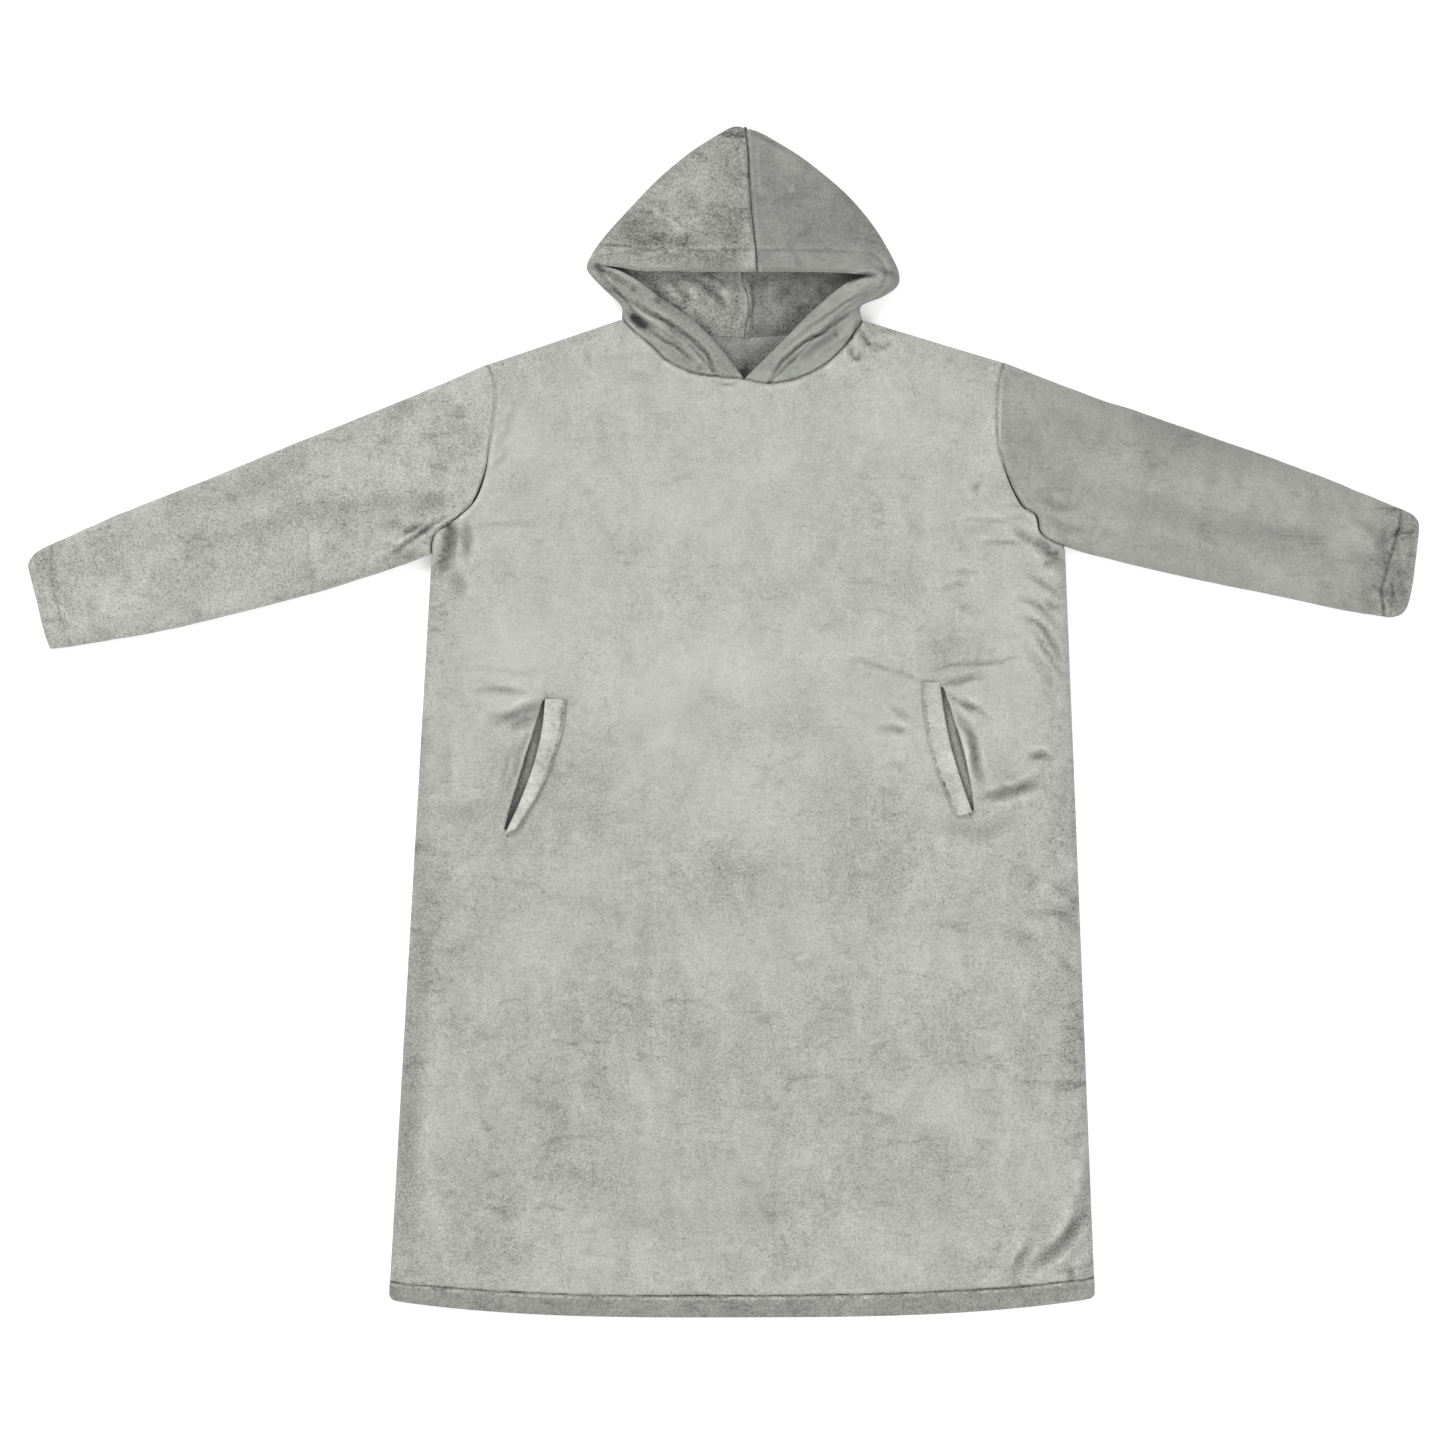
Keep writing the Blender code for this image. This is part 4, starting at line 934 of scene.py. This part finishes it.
def seam_dip(x, y, lines, depth=2.2, width=2.6, lip=0.5):
    """A valley along sewn lines, with a soft lip on each side."""
    dip, tone = np.zeros_like(x), np.zeros_like(x)
    for line in lines:
        gap, along = distance(x, y, line)
        pucker = 1 + 0.35 * np.sin(along * 260) * np.exp(-gap / 4)
        dip -= depth * pucker * bell(gap, width) - lip * bell(gap - 2.6 * width, width)
        # painted shade down the seam's valley, and a painted highlight on the lip to each side
        tone -= 0.34 * (1 + 0.4 * bumps(x, y, 9, 27)) * bell(gap, 1.7)
        tone += 0.13 * (1 + 0.9 * bumps(x, y, 7, 20)) * bell(gap - 3.8, 1.6)
    return dip, tone


def body_panel(side_name):
    """The front or the back of the body as one sheet, from the hem's stitches to the neck."""
    front = side_name == "front"
    x, y = panel_plan(side_name, CELL if front else BACK_CELL)
    keep = np.ones((x.shape[0] - 1, x.shape[1] - 1), bool)
    if front:
        for side in SIDES:
            x, column, rows = slit_warp(x, y, side)
            keep[rows[0] : rows[-1], column] = False
    z, tone = front_surface(x, y)
    holes = [smooth_line(ARMHOLE[s], 6) for s in SIDES]
    neck = smooth_line(NECKLINE[side_name], 6)
    dip, shade = seam_dip(x, y, [*holes, neck])
    if front:
        hem_top = hem_line(x) + hem_depth(x)
        dip -= 1.4 * bell(y - hem_top, 3.0)
        # painted shade in the groove along the hem's stitches
        sewn = bell(y - hem_top - 1.0, 1.4) * (0.9 + 0.45 * bumps(x, y, 13, 18))
        tone = tone - 0.72 * sewn
        for side in SIDES:
            gap, _ = distance(x, y, smooth_line(WELT_MOUTH[side], 8))
            under_welt = (x - mouth_x(side, y, 8)) * INWARDS[side] > 0
            dip += np.where(under_welt, -2.4, 1.6) * bell(gap, 16) * smooth_step(0, 10, gap + 4)
        z = z + dip * smooth_step(0, 14, body_inset(x, y) + 6)
        tone = tone + shade
    else:
        z = np.maximum(BODY_HEIGHT - z + 0.6 * bumps(x, y, 40, 6), 0.0)
        opening = smooth_step(-95, -70, x) * (1 - smooth_step(115, 140, x))
        z += BACK_NECK_RISE * bell(y - BACK_NECK_CENTRE[1] + 2, 18) * opening
        # painted shade: darker towards the neck, deep inside the neck's opening
        tone = 0.3 * tone - 0.4 * smooth_step(330, 392, y) * opening
        tone -= 0.35 * bell(x - 24, 15) * bell(y - 384, 13)  # the shade deep in the V
    z += 0.22 * bumps(x, y, 5, 12)
    z = np.maximum(z, 0.0)
    ruffle = 0.66 + 0.4 * smooth_step(40, -160, y) + 0.4 * bell(body_inset(x, y), 34)
    ruffle = ruffle + 0.3 * bumps(x, y, 80, 17)
    faces = grid_faces(*x.shape, keep=keep)
    return cloth(f"{side_name}_cloth", as_points(x, y, z), faces, tone.ravel(), BODY_FLEECE, flip=not front,
                 ruffle=ruffle.ravel())


def hem_band(side_name):
    """The turned hem of one panel, with rounded corners at the sides."""
    front = side_name == "front"
    right_x, left_x = HEM_CORNER["right"][0] + 0.3, HEM_CORNER["left"][0] - 0.3
    share = stations(left_x - right_x, 5.0)
    x = lerp(right_x, left_x, share)
    corner = 1 - rounded(np.minimum(x - right_x, left_x - x), HEM_ROUND)
    low = np.stack([x, hem_line(x) + HEM_ROUND * corner], -1)
    top_x = lerp(*(side_x(s, HEM_CORNER[s][1] + HEM_DEPTH[s]) for s in SIDES), share)
    high = np.stack([top_x, hem_line(x) + hem_depth(x) + 0.6], -1)
    half = BODY_HEIGHT / 2

    def bottom(px, py):
        lift = (half - HEM_THICKNESS - 0.6) * rounded(np.minimum(px - x[0], x[-1] - px), BODY_EDGE)
        return half + 0.15 + lift if front else half - 0.15 - HEM_THICKNESS - lift

    return soft_band(f"{side_name}_hem_band", low, high, bottom, HEM_THICKNESS, BODY_FLEECE, HEM_TONE,
                     around=24, fine=3.0, rim=0.55)


# ---------------------------------------------------------------- sleeves
def sleeve_plan(side, start, end, first, last, cell=CELL):
    """Places across and along a sleeve between two shares of its length; start and end bend its ends."""
    upper, lower = smooth_line(SLEEVE_UPPER[side]), smooth_line(SLEEVE_LOWER[side])
    length = np.linalg.norm(upper[0] - upper[-1]) * (last - first)
    s = lerp(first, last, stations(length, cell, (0, 0.6, 1.6, 3.2, 5.6)))
    w = stations(np.linalg.norm(upper[-1] - lower[-1]) * 1.5, cell)
    up, low = at_shares(upper, s), at_shares(lower, s)
    plan = lerp(low[:, None, :], up[:, None, :], w[None, :, None])
    reach = min(0.42, last - first)
    for line, at in ((start, first), (end, last)):
        straight = lerp(at_shares(lower, at), at_shares(upper, at), w[:, None])
        pull = 1 - smooth_step(0, reach, np.abs(s - at))
        plan += (at_shares(line, w) - straight)[None, :, :] * pull[:, None, None]
    return plan[..., 0], plan[..., 1], s


def tube_from_plan(name, side, x, y, s, stitched, thickness=CLOTH, depth=2.2, wobble=0.4, stitch_mark=1.0):
    """A flattened sleeve: its front and its back over the same places, joined at both edges. Wobble is
    how far its edge wanders, and stitch_mark how plainly the cuff's stitches show."""
    height = lerp(BODY_HEIGHT, CUFF_HEIGHT, smooth_step(0.15, 1.0, s))[:, None]
    inset = body_inset(x, y)
    relief, tone = pressed(x, y, SLEEVE_CREASES[side])
    tone = tone + brushed_patches(x, y, SLEEVE_PATCHES[side])
    fullness = rounded(inset, np.minimum(BODY_EDGE, height))
    soft = layered(x, y, (1.2, 90, 21), (0.8, 38, 22), (0.4, 17, 23))
    dip, shade = seam_dip(x, y, stitched[:1], depth)
    shade = shade * (1.0 if stitched[1:] else stitch_mark)
    for line in stitched[1:]:
        fold = seam_dip(x, y, [line], stitch_mark, 2.0, 0.2)
        dip, shade = dip + fold[0], shade + stitch_mark * fold[1]
    inner = smooth_step(0, 22, inset)
    z = height / 2 * (1 + fullness) + (relief + soft - 1.0) * inner + dip * smooth_step(0, 14, inset + 6)
    z = np.maximum(z, height / 2) + 0.22 * bumps(x, y, 5, 24) * smooth_step(0, 4, inset)
    tone = tone + shade + edge_shade(inset)
    back_z = height / 2 * (1 - fullness) + 0.5 * (bumps(x, y, 40, 25) + 0.3)

    def ring(upper, under):
        return np.hstack([upper, under[:, -2:0:-1]])

    ring_x, ring_y, ring_z = ring(x, x), ring(y, y), ring(z, np.maximum(back_z, 0.0))
    ring_y = ring_y + wobble * bumps(ring_x, ring_y, 18, 26) * bell(ring(inset, inset), 3)
    frayed = 1.0 + FRAYED[side] * smooth_step(0.86, 0.97, s)
    return cloth(name, as_points(ring_x, ring_y, ring_z), grid_faces(*ring_x.shape, wrap=True),
                 ring(tone, 0.5 * tone).ravel(), SLEEVE_FLEECE[side], thickness, flip=side == "left",
                 ruffle=np.repeat(frayed, ring_x.shape[1]))


def sleeve(side):
    """A sleeve from the armhole to the cuff's stitches, and the turned cuff beyond them."""
    stitch, end = smooth_line(CUFF_STITCH[side]), smooth_line(CUFF_END[side])
    top = share_at(CUFF_STITCH[side][-1], smooth_line(SLEEVE_UPPER[side]))
    hole = smooth_line(ARMHOLE[side])
    outwards = np.array([-INWARDS[side], 0]) * SEAM_HALF_GAP
    x, y, s = sleeve_plan(side, hole + outwards, stitch, 0.0, top)
    mark = STITCH_MARK[side]
    piece = tube_from_plan(f"{side}_sleeve_cloth", side, x, y, s, [hole, stitch], stitch_mark=mark)
    x, y, s = sleeve_plan(side, stitch + outwards * 0.2, end, top, 1.0, CUFF_CELL)
    cuff = tube_from_plan(f"{side}_cuff_band", side, x, y, s, [stitch], CUFF_THICKNESS, depth=mark,
                          wobble=0.0, stitch_mark=mark)
    return piece, cuff


# ---------------------------------------------------------------- hood
def hood_front_height(x, y, side, edge_gap):
    """Height of the hood's upper layer: full over the crown, and lower towards the neck seam."""
    full = rounded(edge_gap, HOOD_EDGE)
    crown = HOOD_HEIGHT / 2 * (1 + full)
    neck_gap = distance(x, y, smooth_line(NECK_FRONT[side], 6))[0]
    strip = lerp(BODY_HEIGHT - 1.5, 33.0, smooth_step(0, 42, neck_gap))
    strip = lerp(np.full_like(strip, HOOD_HEIGHT / 2), strip, rounded(edge_gap, 14))
    return lerp(strip, crown, smooth_step(478, 512, y))


def hood_half(side):
    """Half the hood as one sheet: its upper layer, the fold at its outer edge, and its back layer."""
    neck, outer = smooth_line(NECK_FRONT[side]), smooth_line(HOOD_EDGE_LINE[side])
    low, crown = smooth_line(FACE_LOW[side]), smooth_line(CROWN_EDGE[side])
    seam = smooth_line(CENTRE_SEAM)
    shift = np.array([-INWARDS[side] * SEAM_HALF_GAP, 0.0])
    corner = share_at(HOOD_CORNER[side], outer)
    parts = (
        (length_of(neck), (neck, 0, 1), (low, 0, NECK_SHARE)),
        (length_of(outer) * corner, (outer, 0, corner), (low, NECK_SHARE, 1)),
        (length_of(crown), (outer, corner, CROWN_SHARE), (crown, 0, 1)),
        (length_of(seam), (outer, CROWN_SHARE, 1), (seam, 0, 1)),
    )
    outer_rows, inner_rows = [], []
    for size, (a, a0, a1), (b, b0, b1) in parts:
        t = np.linspace(0, 1, max(4, round(size / 2.0)), endpoint=False)
        outer_rows.append(at_shares(a, lerp(a0, a1, t)))
        inner_rows.append(at_shares(b, lerp(b0, b1, t)))
    outer_rows.append(outer[-1:])
    inner_rows.append(seam[-1:])
    neck_rows = len(outer_rows[0])
    edge, opening = np.vstack(outer_rows), np.vstack(inner_rows)
    opening = opening + shift

    across = np.concatenate([[0, 0.008, 0.02, 0.04], np.linspace(0.06, 0.94, 46), [0.96, 0.98, 0.992, 1]])
    front = lerp(opening[:, None, :], edge[:, None, :], across[None, :, None])
    x, y = front[..., 0], front[..., 1]
    edge_gap = hood_edge_gap(x, y, side)
    relief, tone = pressed(x, y, HOOD_CREASES[side])
    tone = tone + brushed_patches(x, y, HOOD_PATCHES[side])
    face_line = np.vstack([smooth_line(FACE_LOW[side], 8), smooth_line(CROWN_EDGE[side], 8)])
    face_gap, _ = distance(x, y, face_line)
    stitch = bell(face_gap - HOOD_BAND, 1.6) * (0.8 + 0.5 * bumps(x, y, 14, 31))
    turned = smooth_step(HOOD_BAND + 2, HOOD_BAND - 3, face_gap)
    relief += 0.5 * turned - 1.6 * stitch - 2.6 * bell(face_gap, 2.2)
    dip, shade = seam_dip(x, y, [smooth_line(CENTRE_SEAM, 8), smooth_line(NECK_FRONT[side], 8)], 1.4, 2.2)
    relief += layered(x, y, (0.9, 60, 32), (0.8, 26, 33), (0.5, 12, 34))
    z = hood_front_height(x, y, side, edge_gap)
    z = z + (relief - 1.0) * smooth_step(0, 14, edge_gap) + dip + 0.25 * bumps(x, y, 5, 35)
    z = np.clip(z, 8.0, HOOD_HEIGHT + 0.4)
    # painted shade in the groove of the crown band's stitches and along the hood's outer fold, then a painted
    # highlight on the lip beside the stitches
    tone = tone + shade - 0.24 * stitch - 0.1 * bell(edge_gap, 6)
    tone += 0.14 * (1 + bumps(x, y, 11, 38)) * bell(face_gap - HOOD_BAND - 3.2, 1.9)
    # painted light on the left half's turned band and neck strip, painted shade on the right half's neck
    # strip
    tone += 0.06 * turned * (side == "left")
    tone += {"right": -0.16, "left": 0.1}[side] * (1 - smooth_step(470, 500, y))
    z[:, -1] = lerp(BODY_HEIGHT / 2, HOOD_HEIGHT / 2, smooth_step(430, 470, y[:, -1]))
    z[:neck_rows, -1] = lerp(BODY_HEIGHT - 2.0, BODY_HEIGHT / 2, np.linspace(0, 1, neck_rows) ** 3)

    # the back layer, from the outer edge to the centre line
    outline = edge[neck_rows:]
    up = np.linspace(0, 1, len(outline))
    back_seam = smooth_line(BACK_SEAM)
    centre = at_shares(back_seam, up) + shift
    t = np.concatenate([[0.02, 0.045, 0.08], np.linspace(0.12, 1, 40)])
    back = lerp(outline[:, None, :], centre[:, None, :], t[None, :, None])
    neck_back = smooth_line(NECKLINE["back"])
    neck_back = neck_back[(neck_back[:, 0] - BACK_NECK_CENTRE[0]) * INWARDS[side] <= 0]
    neck_back = neck_back if side == "right" else neck_back[::-1]
    target = at_shares(neck_back, t)
    hold = np.clip(1 - up / 0.3, 0, 1)[:, None, None] ** 2
    back += (target - back[0])[None] * hold
    bx, by = back[..., 0], back[..., 1]
    back_gap = hood_edge_gap(bx, by, side)
    level = lerp(BODY_HEIGHT / 2, HOOD_HEIGHT / 2, smooth_step(430, 470, by))
    lift, shade_back = pressed(bx, by, HOOD_BACK_CREASES[side])
    ridge_gap = distance(bx, by, back_seam)[0]
    lift += 3.6 * bell(ridge_gap, 3.4) + 1.5 * (1 + bumps(bx, by, 34, 36))
    lift += 6.0 * smooth_step(6, 60, back_gap) + 0.4 * bell(by - 432, 6)
    bz = level * (1 - rounded(back_gap, HOOD_EDGE * 1.5)) + lift * smooth_step(0, 16, back_gap)
    bz = np.maximum(bz + 0.3 * bumps(bx, by, 7, 37), 0.0)
    # the back layer's inside shows in the opening, so its tone counts there: painted light over the whole
    # inside and a painted highlight along the seam's ridge, painted shade towards the neck, and on the left
    # painted light where the crown's edge casts its shadow
    shade_back = shade_back + 0.13 + 0.3 * bell(ridge_gap, 3.0)
    shade_back -= 0.22 * (1 - smooth_step(424, 452, by))
    shade_back += 0.16 * smooth_step(455, 492, by) * (side == "left")

    first = as_points(x, y, z)
    second = np.stack([bx, by, bz], -1)
    joined = np.concatenate([first.reshape(*x.shape, 3)[neck_rows:, -1:, :], second], axis=1)
    points = np.vstack([first, joined.reshape(-1, 3)])
    tones = np.concatenate([tone.ravel(), np.hstack([tone[neck_rows:, -1:], shade_back]).ravel()])
    faces = np.vstack([grid_faces(*x.shape), grid_faces(*joined.shape[:2], first=len(first))])
    inside = np.arange(len(points)) >= len(first)
    upper = 0.5 + 0.5 * smooth_step(488, 520, points[:, 1])
    ruffle = np.where(inside, 1.2 if side == "right" else 2.2, upper)
    return cloth(f"hood_{side}_cloth", points, faces, tones, HOOD_FLEECE[side], flip=side == "right",
                 merge=0.05, ruffle=ruffle)


def face_hem():
    """The edge of the crown, turned inwards under it from corner to corner."""
    right, left = smooth_line(CROWN_EDGE["right"]), smooth_line(CROWN_EDGE["left"])
    line = np.vstack([right, left[::-1][1:]])
    line = at_shares(line, np.linspace(0.05, 0.95, 60))
    edge_line, inner_line = (line + np.array([0.0, inwards]) for inwards in (0.8, 20.0))

    def bottom(x, y):
        edge = np.min([hood_edge_gap(x, y, s) for s in SIDES], axis=0)
        return HOOD_HEIGHT / 2 * (1 + rounded(edge, HOOD_EDGE)) - 8.2

    return soft_band("face_hem_turning", edge_line, inner_line, bottom, 3.4, HOOD_FLEECE["left"], -0.1)


# ---------------------------------------------------------------- pockets
def welt(side):
    """The stitched band along the inner lip of a pocket's slit."""
    mouth, outer = smooth_line(WELT_MOUTH[side]), smooth_line(WELT_OUTER[side])
    return soft_band(f"{side}_welt", mouth, outer, BODY_HEIGHT - 2.4, WELT_THICKNESS, BODY_FLEECE,
                     WELT_TONE[side], around=24, fine=2.2, dents=0.7, rim=-0.28)


def pocket_bag(side, layer):
    """One layer of a pocket bag, laid where the frame has it."""
    low, high = (np.array(corner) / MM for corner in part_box(f"{side}_pocket_{layer}_bag"))
    counts = [max(8, round((high[i] - low[i]) / BAG_CELL)) for i in (0, 1)]
    gx, gy = np.meshgrid(np.linspace(0, 1, counts[0]), np.linspace(0, 1, counts[1]))
    corner_cut = 0.13 * np.abs(2 * gx - 1) ** 4
    gy = lerp(gy, 0.5, corner_cut)
    x, y = lerp(low[0], high[0], gx), lerp(low[1], high[1], gy)
    mouth = mouth_x(side, y)
    if layer == "front":
        lip = mouth + 2.0 * INWARDS[side]
        x = np.maximum(x, lip) if side == "right" else np.minimum(x, lip)
    z = high[2] + 0.35 * bumps(x, y, 24, 41) - 0.3
    tone = 0.06 * bumps(x, y, 18, 42)
    if layer == "back":  # pressed up against the slit, with a fold that shows in it: painted shade over it and a painted highlight along the fold's edge
        gap, _ = distance(x, y, smooth_line(WELT_MOUTH[side], 6))
        z += 5.5 * bell(gap, 16)
        tone = tone - 0.3 + 0.9 * bell((mouth - x) * INWARDS[side] - 7, 3.5)
    return cloth(f"{side}_{layer}_bag", as_points(x, y, z), grid_faces(*x.shape), tone.ravel(), POCKET_FLEECE,
                 BAG_THICKNESS)


# ---------------------------------------------------------------- studio
FLOOR_GLOW = 0.22  # a lit table, so that the shadows on it stay faint
FLOOR_WHITE = (0.93, 0.93, 0.93)
FLOOR_SIZE, FLOOR_DROP = 30.0, 0.0005  # metres
SKY_STRENGTH = 0.71
# Each light: its name, place and size in metres, and its power in watts.
LIGHTS = (
    ("key", (-4.4, 4.8, 5.6), 4.4, 545.0),
    ("fill", (2.4, -3.0, 3.6), 3.4, 150.0),
)
LENS, SENSOR, FIELD = 85.0, 36.0, 1.5895  # mm, mm, and metres across at the robe's top


def plain(name, colour):
    f = Finish(name, roughness=0.9)
    place = f.node("ShaderNodeTexCoord", {}, output="Object")
    speck = f.noise(place, 40.0, 2.0)
    f.set("Emission Color", (1, 1, 1, 1))
    f.set("Emission Strength", FLOOR_GLOW)
    f.set_colour(colour, 1.0 + speck * 0.01)
    return f.material


def studio():
    """A white floor, a soft light high on the left of the hood, and light from all round."""
    bpy.ops.mesh.primitive_plane_add(size=FLOOR_SIZE, location=(0, 0, -FLOOR_DROP))
    floor = bpy.context.object
    floor.name = "floor"
    floor.data.materials.append(plain("floor_white", FLOOR_WHITE))
    world = bpy.data.worlds.new("studio")
    bpy.context.scene.world = world
    world.use_nodes = True
    background = world.node_tree.nodes["Background"]
    background.inputs["Color"].default_value = (1, 1, 1, 1)
    background.inputs["Strength"].default_value = SKY_STRENGTH
    for name, place, size, power in LIGHTS:
        light = bpy.data.lights.new(name, "AREA")
        light.size = size
        light.energy = power
        lamp = bpy.data.objects.new(name, light)
        lamp.location = place
        lamp.rotation_euler = (-Vector(place)).to_track_quat("-Z", "Y").to_euler()
        bpy.context.scene.collection.objects.link(lamp)


def camera():
    """Straight above the robe."""
    data = bpy.data.cameras.new("camera")
    data.lens, data.sensor_width = LENS, SENSOR
    data.clip_end = 50
    eye = bpy.data.objects.new("camera", data)
    eye.location = (0, 0, FIELD * LENS / SENSOR + BODY_HEIGHT * MM)
    bpy.context.scene.collection.objects.link(eye)
    bpy.context.scene.camera = eye


def placed(piece, nodes, body=None):
    """Hides the frame's parts that a piece takes the place of and, if it is on one body, hangs it from that
    body.
    """
    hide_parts(*nodes)
    if body:
        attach(piece, body)
    return piece


def place_body():
    for part in ("back", "front"):
        panel = placed(body_panel(part), [f"{part}_panel"], "robe_body")
        on_it = [placed(hem_band(part), [f"{part}_hem"], "robe_body")]
        if part == "front":
            on_it += [placed(welt(s), [f"{s}_pocket_welt"], "robe_body") for s in SIDES]


def place_pockets():
    for side in SIDES:
        for layer in ("front", "back"):
            node = f"{side}_pocket_{layer}_bag"
            bag = placed(pocket_bag(side, layer), [node], "robe_body")


def place_sleeve(side):
    arm = f"{side}_arm"
    joint = next(j for j in frame["joints"] if j["child"] == arm)
    fold, along = Vector(joint["pos_m"]), Vector(joint["axis"])
    out = Vector((-along.y, along.x, 0))
    if out.x * INWARDS[side] > 0:
        out = -out
    tube, cuff = sleeve(side)
    placed(tube, [f"{side}_sleeve_cap", f"{side}_sleeve"])
    placed(cuff, [f"{side}_cuff_hem"], arm)
    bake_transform(tube)


def place_hood():
    turning = placed(face_hem(), ["hood_face_hem"], "hood")
    for side in SIDES:
        half = placed(hood_half(side), [f"hood_{side}_collar", f"hood_{side}_panel"])
        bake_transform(half)


def finish_seams():
    """The overlocked seams keep the frame's own shapes."""
    for name, node in frame["nodes"].items():
        if name.endswith("_seam"):
            for slot in node.material_slots:
                slot.material = THREAD


bpy.context.scene.view_settings.view_transform = "Standard"
camera()
studio()
place_body()
place_pockets()
place_sleeve("right")
place_sleeve("left")
place_hood()
finish_seams()
